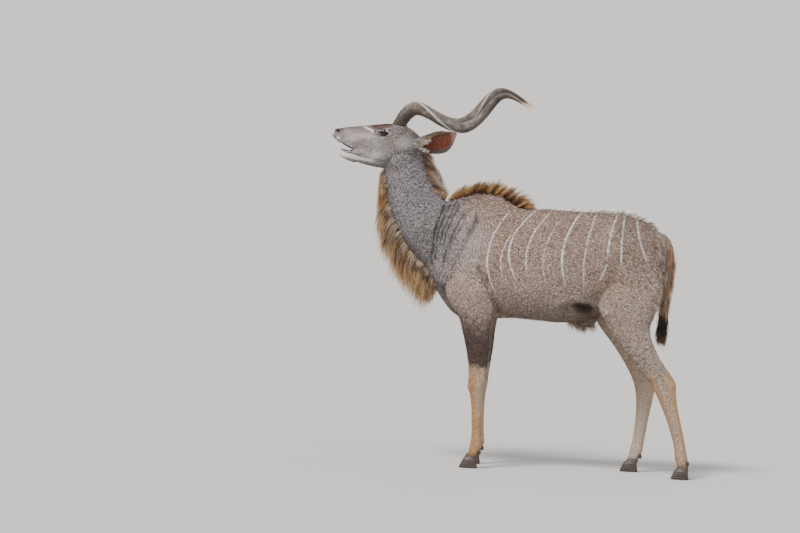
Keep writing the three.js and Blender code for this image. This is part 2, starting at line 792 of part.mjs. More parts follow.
// Tail: x, z, half depth, half width along its middle line
const TAIL = [
  [716, 1196, 26, 26],
  [750, 1176, 33, 29],
  [773, 1128, 34, 28],
  [781, 1060, 31, 26],
  [779, 980, 28, 23],
  [774, 905, 24, 20],
  [767, 839, 19, 17],
  [762, 790, 18, 17],
  [761, 745, 17, 16],
];

// The tuft at its end, and where the long hair on its back begins
const TUFT = { x: 762, top: 802, bottom: 652, sweep: 6, count: 8, backCount: 5 };
const TAIL_BACK = [795, 1110];

function tailForm(grow = 0) {
  const spine = new THREE.CatmullRomCurve3(TAIL.map(([x, z]) => new THREE.Vector3(x, 0, z)));
  const stations = TAIL.map(([x, z, depth, half], i) => {
    const tangent = spine.getTangent(i / (TAIL.length - 1));
    const normal = new THREE.Vector3(tangent.z, 0, -tangent.x).multiplyScalar(depth);
    const centre = new THREE.Vector3(x, 0, z).addScaledVector(tangent, i === 0 ? -grow : 0);
    const ends = { a: centre.clone().add(normal), b: centre.clone().sub(normal) };
    return { ...ends, half, share: 0.5, roundA: 2, roundB: 2 };
  });
  return loft(rings(stations, TAIL_STEPS, 8, grow));
}

// Lines that hair grows from: points on the line, and the reach from each root to its tip
const line = (points) => new THREE.CatmullRomCurve3(points.map(([x, z]) => new THREE.Vector3(x, 0, z)));

const THROAT = {
  line: line([
    [-654, 1436], [-646, 1355], [-628, 1266], [-598, 1185], [-558, 1112], [-505, 1045],
    [-452, 985], [-412, 940], [-392, 900],
  ]),
  reach: line([
    [-20, -90], [-39, -127], [-60, -153], [-58, -154], [-52, -155], [-47, -172], [-42, -187],
    [-40, -170], [-4, -96],
  ]),
};

const NAPE = {
  line: line([
    [-458, 1505], [-440, 1466], [-422, 1417], [-396, 1373], [-360, 1346],
  ]),
  reach: line([
    [44, -36], [62, -34], [72, -31], [66, -6], [46, 28],
  ]),
};

const CREST = {
  line: line([
    [-345, 1334], [-300, 1336], [-250, 1346], [-200, 1362], [-147, 1372], [-86, 1362],
    [-35, 1332], [16, 1306], [70, 1297],
  ]),
  reach: line([
    [40, 42], [28, 60], [18, 58], [18, 58], [28, 52], [40, 42], [53, 40], [58, 36], [52, 12],
  ]),
};


// The tail's tuft, and the longer hair down the tail's back
function tailLocks() {
  const random = randomSource(11);
  const locks = [];
  for (let i = 0; i < TUFT.count; i += 1) {
    const angle = (2 * Math.PI * (i + 0.4 * random())) / TUFT.count;
    const outward = new THREE.Vector3(Math.cos(angle), Math.sin(angle), 0);
    const root = new THREE.Vector3(TUFT.x, 0, TUFT.top - 46 * (i % 3)).addScaledVector(outward, 8);
    const tip = root.clone().addScaledVector(outward, 10 + 6 * random());
    tip.z = TUFT.bottom + 40 * random();
    tip.x += TUFT.sweep;
    const bend = outward.clone().multiplyScalar(12);
    const across = new THREE.Vector3(-outward.y, outward.x, 0);
    locks.push(lock({ root, tip, bend, width: 30, thick: 12, across, sink: 8 }));
  }
  for (let i = 0; i < TUFT.backCount; i += 1) {
    const t = (i + 0.5) / TUFT.backCount;
    const side = i % 2 === 0 ? 1 : -1;
    const root = new THREE.Vector3(TAIL_BACK[0] - 22 * t * t, side * 9, TAIL_BACK[1] - 290 * t);
    const tip = root.clone().add(new THREE.Vector3(10 - 20 * t, side * 8, -88 - 20 * random()));
    const bend = new THREE.Vector3(10, side * 6, 0);
    const across = new THREE.Vector3(0, 1, 0);
    locks.push(lock({ root, tip, bend, width: 26, thick: 10, across, sink: 14 }));
  }
  return locks;
}

// White hair that crosses the ear from its lower edge
function earLocks(side) {
  const { root, length, along, face, wide } = earFrame(side);
  const random = randomSource(21);
  return Array.from({ length: EAR_LOCKS }, (_, i) => {
    const t = 0.18 + (0.46 * i) / EAR_LOCKS;
    const [, halfWide, deep, , sag] = EAR_STATIONS[1 + Math.floor(i / 2)];
    const start = root.clone().addScaledVector(along, length * t);
    start.addScaledVector(wide, sag + halfWide - 3).addScaledVector(face, -0.15 * deep);
    const tip = start.clone().addScaledVector(along, 30 + 12 * random());
    tip.addScaledVector(wide, -26 - 10 * random()).addScaledVector(face, 6);
    const bend = face.clone().multiplyScalar(5);
    return lock({ root: start, tip, bend, width: 17, thick: 4, across: along, sink: 1 });
  });
}

// Whole body, parted by thin cuts
const torsoForm = loft(rings(TORSO.map(upright), TORSO_STEPS, RING_SIDES));
const neckForm = loft(rings(NECK.map(slanted), NECK_STEPS, RING_SIDES));
const trunk = join(torsoForm, neckForm);
const ahead = trim(trunk, ...NECK_CUT, 1);
const behind = trim(trunk, ...NECK_CUT, -1);
const sheath = loft(rings(SHEATH.map(([x, z, r]) => upright([x, z + r, z - r, r, 0.5, 2, 2])), 5, 8));
const crest = trim(join(mane(CREST, CREST_LOCKS)), ...NECK_CUT, -1);
add("torso", join(behind, crest, sheath).subtract(join(sockets, tailForm(GAP))), COLOURS.coat);

const fringe = mane(THROAT, FRINGE_LOCKS);
const nape = mane(NAPE, NAPE_LOCKS);
add("neck", trim(trim(join(ahead, fringe, nape), ...NECK_CUT, 1), ...HEAD_CUT, -1), COLOURS.neck);

add("head", trim(join(headForm(), trim(neckForm, ...HEAD_CUT, 1)), ...HEAD_CUT, 1), COLOURS.face);
add("tail", join(tailForm(), tailLocks()), COLOURS.tail);

for (const [word, side] of [["left", -1], ["right", 1]]) {
  add(`ear_${word}`, join(earForm(side), earLocks(side)), COLOURS.ear);
  add(`horn_${word}`, hornForm(side), COLOURS.horn, 0.6);
  add(`eye_${word}`, ball(at(EYE, side), EYE.radius, EYE.radius, EYE.radius, 12, 8), COLOURS.eye, 0.1);
}

export default group;
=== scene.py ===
# A greater kudu bull, life size, standing with its head raised as if browsing.
# The bull faces -X, its left side is -Y and it stands on z = 0. Sizes are metres,
# or millimetres where a table says so.
import math

import bpy
import numpy as np
from mathutils import Matrix, Vector
from mathutils.bvhtree import BVHTree
from mathutils.kdtree import KDTree


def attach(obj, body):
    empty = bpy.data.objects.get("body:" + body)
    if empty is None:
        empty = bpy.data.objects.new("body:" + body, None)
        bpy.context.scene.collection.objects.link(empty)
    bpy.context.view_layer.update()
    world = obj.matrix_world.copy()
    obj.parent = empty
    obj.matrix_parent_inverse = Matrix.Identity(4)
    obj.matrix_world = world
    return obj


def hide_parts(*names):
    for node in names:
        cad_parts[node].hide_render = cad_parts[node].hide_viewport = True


bl_info = {
    "name": "Greater Kudu Bull",
    "version": (1, 0, 0),
    "blender": (4, 5, 0),
    "location": "View3D > Sidebar > Kudu",
    "description": "Builds a life-size kudu bull: skin, coat, mane, horns, hooves, eyes and stage",
    "category": "Add Mesh",
}

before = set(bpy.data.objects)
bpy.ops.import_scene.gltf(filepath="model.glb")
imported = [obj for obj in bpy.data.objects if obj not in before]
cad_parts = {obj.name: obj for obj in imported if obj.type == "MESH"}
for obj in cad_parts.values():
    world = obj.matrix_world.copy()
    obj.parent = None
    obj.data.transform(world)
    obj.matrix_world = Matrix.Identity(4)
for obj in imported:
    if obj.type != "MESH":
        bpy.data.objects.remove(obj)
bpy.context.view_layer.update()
MM = 0.001
SIDES = (("left", -1), ("right", 1))
# The column of a leg's table that holds x on each side
COLUMN = {-1: 1, 1: 2}

# Torso: x, top z, bottom z, half width, height of the widest line as a share
# of the depth from the top, roundness above it, roundness below it
TORSO = (
    (-402, 1160, 925, 26, 0.5, 2, 2), (-368, 1262, 866, 76, 0.55, 2, 2), (-335, 1318, 819, 104, 0.58, 1.8, 2),
    (-295, 1339, 772, 126, 0.58, 1.6, 2), (-245, 1357, 741, 144, 0.58, 1.5, 2),
    (-190, 1373, 730, 157, 0.56, 1.4, 2.1), (-130, 1377, 732, 165, 0.55, 1.4, 2.2),
    (-75, 1368, 740, 169, 0.55, 1.45, 2.2), (-20, 1333, 747, 174, 0.56, 1.6, 2.3),
    (51, 1302, 749, 183, 0.57, 1.75, 2.3), (141, 1299, 744, 196, 0.58, 1.85, 2.3),
    (241, 1300, 740, 206, 0.57, 1.9, 2.3), (340, 1299, 752, 204, 0.54, 1.85, 2.2),
    (439, 1297, 786, 194, 0.48, 1.8, 2.1), (538, 1294, 830, 186, 0.42, 1.8, 2), (632, 1273, 868, 170, 0.4, 1.8, 2),
    (697, 1240, 904, 136, 0.42, 1.9, 2), (745, 1190, 960, 88, 0.45, 2, 2), (776, 1130, 1030, 34, 0.5, 2, 2),
)

# Neck: throat x, z, nape x, z, half width, share from the throat, roundness of throat and nape
NECK = (
    (-640, 1560, -500, 1622, 62, 0.5, 2, 2), (-662, 1478, -470, 1578, 76, 0.45, 2.1, 1.8),
    (-656, 1405, -448, 1505, 82, 0.42, 2.1, 1.7), (-645, 1340, -422, 1436, 86, 0.42, 2.1, 1.65),
    (-624, 1256, -394, 1376, 90, 0.42, 2.1, 1.6), (-592, 1178, -358, 1333, 98, 0.42, 2.1, 1.6),
    (-549, 1105, -315, 1292, 108, 0.44, 2.1, 1.6), (-490, 1033, -265, 1214, 120, 0.46, 2, 1.7),
    (-432, 970, -215, 1126, 126, 0.5, 2, 2), (-388, 906, -170, 1010, 112, 0.5, 2, 2),
    (-330, 850, -140, 900, 80, 0.5, 2, 2),
)

# Skull and jaw: columns as for the torso
SKULL = (
    (-490, 1632, 1520, 44, 0.5, 2, 2), (-527, 1662, 1486, 62, 0.45, 2.1, 2), (-567, 1680, 1470, 73, 0.4, 2.6, 2),
    (-607, 1688, 1466, 78, 0.36, 2.9, 2), (-640, 1688, 1474, 79, 0.32, 2.8, 2), (-668, 1686, 1490, 77, 0.3, 2.5, 2),
    (-698, 1682, 1506, 66, 0.32, 2.4, 2), (-735, 1677, 1523, 56, 0.38, 2.3, 2.2),
    (-778, 1671, 1536, 49, 0.45, 2.2, 2.4), (-818, 1666, 1548, 45, 0.5, 2.2, 2.4),
    (-852, 1661, 1562, 44, 0.5, 2.3, 2.5), (-882, 1656, 1578, 43, 0.5, 2.3, 2.5),
    (-907, 1649, 1592, 38, 0.5, 2.2, 2.4), (-924, 1639, 1608, 26, 0.5, 2, 2.2), (-931, 1630, 1618, 10, 0.5, 2, 2),
)
JAW = (
    (-596, 1610, 1476, 52, 0.5, 2, 2), (-640, 1624, 1462, 64, 0.5, 2, 2), (-690, 1610, 1465, 62, 0.5, 2, 2),
    (-730, 1598, 1471, 55, 0.5, 2, 2), (-768, 1586, 1479, 47, 0.5, 2, 2), (-800, 1568, 1488, 41, 0.5, 2, 2),
    (-822, 1549, 1493, 37, 0.45, 2.2, 2), (-842, 1540, 1498, 33, 0.4, 2.4, 2.1),
    (-866, 1534, 1504, 29, 0.4, 2.3, 2.2), (-883, 1527, 1512, 15, 0.5, 2, 2),
)

# Legs: height, x of the left leg, x of the right leg, half depth, half width, |y|
FORELEG = (
    (1080, -182, -178, 84, 30, 104), (985, -192, -186, 112, 42, 104), (900, -197, -184, 126, 50, 114),
    (835, -190, -172, 122, 52, 120), (790, -176, -156, 104, 50, 124), (750, -163, -144, 86, 47, 127),
    (678, -156, -138, 70, 43, 126), (604, -146, -134, 61, 37, 125), (529, -140, -132, 51, 32, 124),
    (470, -140, -134, 46, 30, 124), (435, -141, -136, 45, 32, 124), (400, -141, -136, 42, 31, 124),
    (360, -139, -134, 34, 26, 124), (300, -136, -131, 28, 21, 124), (225, -133, -129, 26, 21, 124),
    (160, -130, -127, 27, 22, 124), (118, -130, -127, 31, 26, 124), (92, -135, -132, 30, 26, 124),
    (66, -143, -140, 28, 24, 124), (40, -151, -148, 31, 27, 124),
)
HINDLEG = (
    (1150, 612, 602, 100, 34, 88), (1050, 604, 586, 142, 54, 98), (960, 598, 568, 162, 66, 108),
    (885, 594, 556, 166, 68, 114), (815, 590, 542, 142, 66, 120), (729, 602, 549, 106, 57, 130),
    (647, 650, 597, 87, 48, 137), (575, 700, 639, 77, 40, 140), (515, 750, 674, 74, 34, 141),
    (470, 784, 690, 67, 32, 142), (425, 799, 694, 55, 32, 142), (370, 817, 693, 45, 28, 142),
    (304, 840, 689, 38, 23, 142), (235, 862, 682, 34, 22, 142), (166, 881, 674, 32, 23, 142),
    (118, 890, 666, 34, 27, 142), (84, 898, 659, 33, 26, 142), (60, 901, 650, 31, 25, 142),
    (40, 902, 644, 33, 27, 142),
)

# Tail: x, z, half depth, half width along its middle line
TAIL = (
    (716, 1196, 26, 26), (750, 1176, 33, 29), (773, 1128, 34, 28), (781, 1060, 31, 26), (779, 980, 28, 23),
    (774, 905, 24, 20), (767, 839, 19, 17), (762, 790, 18, 17), (761, 745, 17, 16),
)
# Sheath: x, z and radius
SHEATH = ((280, 764, 12), (325, 757, 24), (370, 751, 28), (405, 756, 20), (432, 772, 10))

# Folds and hollows seen from the side: points x, z, then half width, depth, from |y|, to |y|
# and the strength of the painted shade in the fold. A depth below nought is a swelling.
FOLDS = (
    (((-318, 1350), (-350, 1284), (-377, 1200), (-392, 1110), (-396, 1000)), 7, 8, 30, 200, 1),
    (((-300, 1345), (-334, 1272), (-360, 1186), (-375, 1100), (-378, 1020)), 6, 7, 30, 200, 0.9),
    (((-284, 1330), (-316, 1256), (-341, 1180), (-357, 1100)), 5, 6, 30, 200, 0.8),
    (((-268, 1312), (-300, 1244), (-324, 1178), (-341, 1090)), 5, 6, 30, 200, 0.8),
    (((-246, 1262), (-270, 1220), (-302, 1139), (-326, 1070), (-336, 1000)), 5, 6, 30, 200, 0.9),
    (((-228, 1282), (-246, 1246), (-262, 1232)), 5, 4, 30, 200, 0.5),
    (((-395, 1010), (-374, 950), (-340, 880), (-300, 815)), 10, 5, 30, 200, 0.3),
    (((-158, 1000), (-128, 960), (-104, 892), (-70, 830), (-52, 780)), 15, 9, 60, 200, 0.6),
    (((-280, 960), (-220, 900), (-180, 880)), 60, -6, 60, 200, 0),
    (((250, 834), (290, 862), (350, 872), (420, 842), (466, 790)), 18, -8, 60, 220, 0),
    (((272, 806), (310, 828), (370, 828), (425, 792)), 19, 15, 40, 220, 0.65),
    (((395, 1215), (430, 1130), (400, 1020)), 48, 9, 60, 220, 0),
    (((470, 1262), (500, 1225), (520, 1190)), 26, -6, 60, 220, 0),
    (((540, 1180), (600, 1080), (640, 980)), 45, -4, 60, 220, 0),
    (((738, 1150), (752, 1095), (752, 1050)), 10, 8, 30, 220, 0.8),
    (((752, 1050), (745, 960), (716, 830)), 12, 3, 40, 220, 0.15),
    (((600, 560), (650, 560), (690, 590)), 8, 4, 100, 200, 0.3),
    (((612, 600), (660, 600), (700, 640)), 8, 3, 100, 200, 0.2),
    (((590, 640), (640, 640), (684, 684)), 9, 3, 100, 200, 0.15),
)

# Marks of pale or dark hair. Kind, colour, softness, strength, then for a spot its centre,
# half sizes and turn in degrees about Y, and for a streak its two ends and half width.
# All lie at |y|, so that both sides carry them.
MARKS = (
    ("spot", "belly", 0.5, 0.35, (-625, 80, 1600), (46, 40, 34), 0),
    ("spot", "pale", 0.6, 0.7, (-785, 52, 1612), (66, 36, 20), 8),
    ("spot", "pale", 0.6, 0.7, (-730, 62, 1624), (42, 30, 14), 12),
    # painted shade low on the muzzle's side
    ("spot", "belly", 0.7, 0.55, (-800, 45, 1582), (50, 20, 12), 26),
    ("spot", "leg_dark", 0.6, 0.75, (-838, 14, 1668), (74, 40, 16), -5),
    ("spot", "muzzle", 0.5, 0.9, (-896, 14, 1654), (32, 40, 18), -20),
    ("spot", "belly", 0.6, 0.5, (-800, 14, 1650), (70, 60, 16), -4),
    ("spot", "forehead", 0.4, 0.95, (-690, 30, 1682), (56, 80, 28), 4),
    ("spot", "forehead", 0.5, 0.6, (-640, 30, 1696), (40, 40, 24), 0),
    ("streak", "coat_warm", 0.5, 0.8, (-700, 50, 1670), (-630, 60, 1684), 5),
    ("streak", "white", 0.35, 1.0, (-797, 2, 1680), (-757, 34, 1664), 5.5),
    ("streak", "white", 0.35, 1.0, (-757, 34, 1664), (-718, 58, 1644), 5),
    ("streak", "pale", 0.4, 0.9, (-718, 58, 1644), (-700, 66, 1638), 4),
    ("spot", "white", 0.4, 0.95, (-655, 76, 1655), (12, 12, 6), 20),
    ("spot", "pale", 0.4, 0.7, (-672, 76, 1616), (17, 14, 5), 12),
    ("streak", "dark", 0.5, 0.9, (-712, 60, 1646), (-682, 76, 1643), 5),
    ("streak", "dark", 0.5, 0.7, (-690, 70, 1630), (-640, 74, 1626), 4),
    ("spot", "white", 0.9, 0.6, (-700, 60, 1528), (30, 26, 16), 10),
    ("spot", "pale", 0.9, 0.6, (-560, 70, 1590), (34, 40, 30), 0),
    ("streak", "white", 0.5, 0.95, (-868, 24, 1522), (-800, 36, 1508), 12),
    ("streak", "white", 0.6, 0.9, (-800, 36, 1508), (-722, 50, 1496), 9),
    ("streak", "pale", 0.6, 0.7, (-722, 50, 1496), (-650, 60, 1486), 10),
    ("streak", "muzzle", 0.6, 0.7, (-850, 30, 1536), (-780, 42, 1526), 4),
    # painted shade along the underside of the jaw
    ("streak", "dark", 0.6, 0.85, (-812, 12, 1492), (-744, 22, 1477), 6),
    ("streak", "dark", 0.6, 0.85, (-744, 22, 1475), (-668, 26, 1460), 8),
    ("streak", "white", 0.35, 1.0, (-930, 10, 1642), (-892, 34, 1604), 6.5),
    # near black: painted shade in the mouth's opening and in the nostril, over dark lip skin
    ("streak", "mouth", 0.4, 0.95, (-872, 34, 1580), (-826, 38, 1556), 4.5),
    ("streak", "mouth", 0.5, 0.8, (-868, 26, 1541), (-824, 32, 1545), 2.5),
    ("spot", "mouth", 0.25, 1.0, (-862, 0, 1560), (60, 26, 16), 16),
    ("spot", "mouth", 0.25, 1.0, (-904, 40, 1640), (15, 13, 7), 28),
    # painted shade under the root of the ear
    ("streak", "dark", 0.6, 0.7, (-532, 88, 1588), (-494, 82, 1576), 5),
    ("streak", "pale", 0.5, 0.8, (-530, 88, 1566), (-468, 50, 1560), 4),
    ("streak", "muzzle", 0.7, 0.6, (-530, 84, 1550), (-470, 50, 1546), 8),
    ("streak", "hair_root", 0.5, 0.9, (-566, 10, 1682), (-500, 20, 1655), 17),
    ("spot", "muzzle", 0.7, 0.35, (-622, 70, 1474), (44, 50, 20), 0),
    ("streak", "pale", 0.7, 0.55, (-545, 92, 1540), (-574, 96, 1422), 9),
    ("streak", "white", 0.5, 0.85, (-462, 60, 1552), (-427, 60, 1466), 3.5),
    ("streak", "white", 0.5, 0.7, (-427, 60, 1466), (-398, 64, 1400), 3.5),
    ("streak", "white", 0.5, 0.8, (716, 60, 1214), (756, 36, 1130), 7),
    ("streak", "pale", 0.5, 0.6, (-370, 150, 1080), (-352, 170, 850), 4),
    ("spot", "white", 0.4, 0.85, (230, 0, 1300), (150, 8, 26), 0),
    ("spot", "white", 0.5, 0.7, (560, 0, 1292), (120, 10, 26), 6),
    ("spot", "pale", 0.5, 0.6, (742, 34, 1150), (26, 24, 110), 18),
    ("spot", "pale", 0.5, 0.6, (690, 0, 1020), (90, 60, 170), 0),
    # painted shade under the belly
    ("spot", "belly", 0.8, 0.4, (360, 0, 790), (110, 200, 50), 0),
    # painted shade in the flank's hollow over the sheath
    ("spot", "leg_dark", 0.6, 0.85, (374, 150, 820), (44, 130, 30), 0),
    ("spot", "dark", 0.6, 0.45, (330, 150, 838), (16, 130, 10), 0),
    ("spot", "dark", 0.6, 0.45, (354, 150, 844), (20, 130, 13), 0),
    ("spot", "dark", 0.6, 0.45, (381, 150, 838), (20, 130, 17), 0),
    ("spot", "dark", 0.6, 0.45, (401, 150, 816), (16, 130, 22), 0),
    # painted highlight along the fold above the hollow
    ("streak", "pale", 0.6, 0.6, (300, 190, 858), (352, 190, 866), 7),
    ("streak", "pale", 0.6, 0.6, (352, 190, 866), (412, 180, 846), 7),
)

# White stripes on the flank: top x, z, bottom x, z, bow, half width and strength
STRIPES = (
    (-16, 1289, -48, 845, -84, 3.6, 0.95), (117, 1301, 46, 935, -90, 4.0, 1.0), (-5, 1172, -24, 930, -34, 3.2, 0.8),
    (192, 1299, 95, 950, -60, 3.3, 0.85), (239, 1260, 197, 905, -56, 2.8, 0.6), (336, 1300, 288, 915, -56, 4.8, 1.0),
    (410, 1291, 376, 880, -28, 3.3, 0.7), (514, 1296, 476, 1062, -10, 4.2, 1.0), (478, 1052, 444, 960, 0, 4.2, 0.9),
    (549, 1288, 547, 1030, -4, 4.2, 1.0), (612, 1270, 684, 1055, -12, 4.6, 1.0),
)


# Sizes and colours to change


def distance(name, text, value):
    return bpy.props.FloatProperty(name=name, description=text, default=value, min=0, unit="LENGTH", precision=4)


def share(name, text, value):
    return bpy.props.FloatProperty(name=name, description=text, default=value, min=0, max=1, subtype="FACTOR")


def amount(name, text, value):
    return bpy.props.IntProperty(name=name, description=text, default=value, min=0, max=100000)


def colour(name, text, value):
    """A colour given as sRGB from 0 to 255."""
    settings = {"default": linear(value), "size": 3, "min": 0, "max": 1, "subtype": "COLOR"}
    return bpy.props.FloatVectorProperty(name=name, description=text, **settings)


def linear(value):
    parts = [c / 255 for c in value]
    return tuple(c / 12.92 if c <= 0.04045 else ((c + 0.055) / 1.055) ** 2.4 for c in parts)


class KuduSizes(bpy.types.PropertyGroup):
    """Sizes of the skin, the coat and the hair"""

    voxel: distance("Voxel", "Cell size of the mesh that fuses the body's forms", 0.003)
    coat_depth: distance("Coat depth", "How far the skin lies under the coat's surface", 0.004)
    skin_share: share("Skin detail", "Share of the fused mesh's faces that the skin keeps", 0.19)
    fur_length: distance("Fur length", "Length of a tuft on the flank", 0.0135)
    fur_width: distance("Fur width", "Width of a tuft at its root", 0.0032)
    fur_lift: share("Fur lift", "How far tufts stand out from the skin", 0.2)
    fur_tufts: amount("Tufts", "Tufts on each of the coat's pieces", 35000)
    strand: distance("Strand", "Half thickness of a strand of long hair at its root", 0.0009)
    eye: distance("Eye", "Radius of the eyeball", 0.021)
    ear_wall: distance("Ear wall", "Thickness of the ear's shell", 0.004)
    hoof_rings: amount("Hoof rings", "Growth rings on a hoof", 7)


class KuduColours(bpy.types.PropertyGroup):
    """Colours of the coat, the hair, the horns and the skin"""

    coat: colour("Coat", "Grey-brown of the flank", (180, 154, 143))
    coat_warm: colour("Warm coat", "Warmer brown over the back", (172, 139, 123))
    neck: colour("Neck", "Grey of the neck", (138, 131, 138))
    neck_low: colour("Lower neck", "Darker grey of the lower neck", (98, 91, 95))
    face: colour("Face", "Grey of the face", (176, 166, 168))
    forehead: colour("Forehead", "Dark reddish brown between the eyes", (101, 72, 61))
    muzzle: colour("Muzzle", "Dark skin round the nostrils", (75, 64, 63))
    # near black: the bare skin of lips and lids, and painted shade inside the mouth and the nostrils
    mouth: colour("Mouth", "Skin inside the mouth and the nostrils", (26, 20, 21))
    # dark also paints shade: in the skin's folds and hollows, along the jaw's underside, under the ear, deep in the
    # ear's cup and in the flank's hollow
    dark: colour("Dark", "Dark rims and creases", (39, 32, 30))
    white: colour("White", "White marks and stripes", (250, 247, 242))
    pale: colour("Pale", "Pale grey patches", (208, 200, 195))
    # also the colour of the painted shade towards and under the belly
    belly: colour("Belly", "Grey-brown of the belly", (145, 126, 112))
    leg_dark: colour("Dark leg", "Patch above the knee", (73, 58, 51))
    leg_tan: colour("Tan leg", "Front of the lower legs", (186, 136, 86))
    leg_pale: colour("Pale leg", "Inner side of the lower legs", (190, 166, 142))
    hair_root: colour("Hair root", "Long hair at its root", (200, 187, 174))
    hair_dark: colour("Dark hair", "Dark strands of fringe and tuft", (66, 48, 38))
    hair_tan: colour("Tan hair", "Golden tips of fringe and mane", (194, 159, 115))
    hair_gold: colour("Golden hair", "Orange-gold tips at the front of the fringe", (186, 128, 68))
    # also the painted shade on the horn's underside
    horn_base: colour("Horn root", "Dark brown of the horn's root and underside", (55, 44, 36))
    horn_mid: colour("Horn", "Grey-brown of the horn", (86, 79, 72))
    horn_tip: colour("Horn tip", "Ivory of the last part of the horn", (204, 164, 126))
    hoof: colour("Hoof", "Dark horn of the hooves", (61, 52, 47))
    ear_inside: colour("Ear inside", "Thin skin inside the ear", (129, 58, 35))
    iris: colour("Iris", "Brown of the eye", (40, 22, 12))
    floor: colour("Floor", "Floor and surroundings", (181, 180, 178))


def sizes():
    return bpy.context.scene.kudu_sizes


def colours():
    return bpy.context.scene.kudu_colours


# Arrays and meshes


def unit(vectors):
    length = np.linalg.norm(vectors, axis=-1, keepdims=True)
    return vectors / np.maximum(length, 1e-9)


def vectors(x, y, z):
    """Points from their coordinates, each an array or one number."""
    return np.stack(np.broadcast_arrays(x, y, z), -1)


def smoothstep(low, high, value):
    t = np.clip((value - low) / (high - low), 0, 1)
    return t * t * (3 - 2 * t)


def curve_through(rows, count):
    """Even steps along smooth curves through a table's rows."""
    rows = np.asarray(rows, float)
    ends = np.vstack([2 * rows[0] - rows[1], rows, 2 * rows[-1] - rows[-2]])
    at = np.linspace(0, len(rows) - 1, count)
    first = np.minimum(at.astype(int), len(rows) - 2)
    t = (at - first)[:, None]
    a, b, c, d = (ends[first + k] for k in range(4))
    return 0.5 * (2 * b + (c - a) * t + (2 * a - 5 * b + 4 * c - d) * t**2 + (3 * b - a - 3 * c + d) * t**3)


def curve_at(rows, t):
    """Points at shares t along the same curves."""
    table = curve_through(rows, 400)
    at = np.clip(t, 0, 1) * (len(table) - 1)
    low = np.minimum(at.astype(int), len(table) - 2)
    part = (at - low)[..., None]
    return table[low] * (1 - part) + table[low + 1] * part


def array_mesh(name, points, faces):
    """A mesh from arrays of points and of faces with equal corner counts."""
    faces = np.asarray(faces, np.int32)
    mesh = bpy.data.meshes.new(name)
    mesh.vertices.add(len(points))
    mesh.vertices.foreach_set("co", np.asarray(points, np.float32).ravel())
    mesh.loops.add(faces.size)
    mesh.loops.foreach_set("vertex_index", faces.ravel())
    mesh.polygons.add(len(faces))
    mesh.polygons.foreach_set("loop_start", np.arange(0, faces.size, faces.shape[1], dtype=np.int32))
    mesh.update(calc_edges=True)
    mesh.validate()
    mesh.polygons.foreach_set("use_smooth", np.ones(len(mesh.polygons), bool))
    return mesh


def place(name, mesh, *materials):
    piece = bpy.data.objects.new(name, mesh)
    bpy.context.scene.collection.objects.link(piece)
    mesh.materials.clear()
    for material in materials:
        mesh.materials.append(material)
    return piece


def hand_over(piece, slot, *nodes):
    """Gives a finished piece to the frame, where it rides on the root, and hides the solids it stands for. Its slot is
    not used.
    """
    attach(piece, "root")
    if nodes:
        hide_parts(*nodes)


def numbers(data, name, width=1, kind=np.float32):
    found = np.zeros(len(data) * width, kind)
    data.foreach_get(name, found)
    return found.reshape(-1, width) if width > 1 else found


def whole_numbers(data, name, width=1):
    return numbers(data, name, width, np.int32)


def face_corners(mesh):
    """The point at each corner of a mesh, and the first point of the corner's face."""
    corner = whole_numbers(mesh.loops, "vertex_index")
    starts, totals = (whole_numbers(mesh.polygons, name) for name in ("loop_start", "loop_total"))
    return corner, np.repeat(corner[starts], totals)


def keep(mesh, domain="POINT", **values):
    """Stores arrays as named attributes of a mesh: numbers, or vectors of two or three parts."""
    for name, found in values.items():
        found = np.asarray(found, np.float32)
        kind = "FLOAT" if found.ndim == 1 else {2: "FLOAT2", 3: "FLOAT_VECTOR"}[found.shape[1]]
        layer = mesh.attributes.get(name) or mesh.attributes.new(name, kind, domain)
        layer.data.foreach_set("value" if found.ndim == 1 else "vector", found.ravel())


def grid_faces(rows, columns):
    """Four-cornered faces over a grid of points, wrapped round its columns."""
    r, c = np.indices((rows - 1, columns))
    here, near = r * columns, (c + 1) % columns
    return np.stack([here + c, here + near, here + columns + near, here + columns + c], -1).reshape(-1, 4)


def closed_loft(grid):
    """Points and triangles of a closed form through rings of points."""
    rows, columns = grid.shape[:2]
    quads = grid_faces(rows, columns)
    points = np.vstack([grid.reshape(-1, 3), grid[0].mean(0), grid[-1].mean(0)])
    near = np.arange(columns)
    far = (near + 1) % columns
    base = (rows - 1) * columns
    ends = vectors(far, near, len(points) - 2), vectors(base + near, base + far, len(points) - 1)
    triangles = np.vstack([quads[:, [0, 1, 2]], quads[:, [0, 2, 3]], *ends])
    corners = points[triangles]
    volume = np.einsum("ij,ij->i", corners[:, 0], np.cross(corners[:, 1], corners[:, 2])).sum()
    return points, triangles if volume > 0 else triangles[:, ::-1]


def gather(forms):
    """One array of points and one of triangles from several closed forms."""
    points, faces, base = [], [], 0
    for found, triangles in forms:
        points.append(found)
        faces.append(triangles + base)
        base += len(found)
    return np.vstack(points), np.vstack(faces)


# Rings of the body


def cross_rings(a, b, half, share_, above, below, sides, grow=0.0):
    """Rings that span from points a to b, widest at a share between them."""
    along = unit(b - a)
    a, b = a - along * grow, b + along * grow
    middle = (a + (b - a) * share_[:, None])[:, None]
    angle = 2 * np.pi * (np.arange(sides) + 0.5) / sides
    c, s = np.cos(angle), np.sin(angle)
    power = 2 / np.where(c > 0, above[:, None], below[:, None])
    reach = (np.abs(c) ** power)[..., None]
    end = np.where((c > 0)[None, :, None], a[:, None], b[:, None])
    ring = middle * (1 - reach) + end * reach
    ring[..., 1] += np.sign(s) * np.abs(s) ** power * (half + grow)[:, None]
    return ring


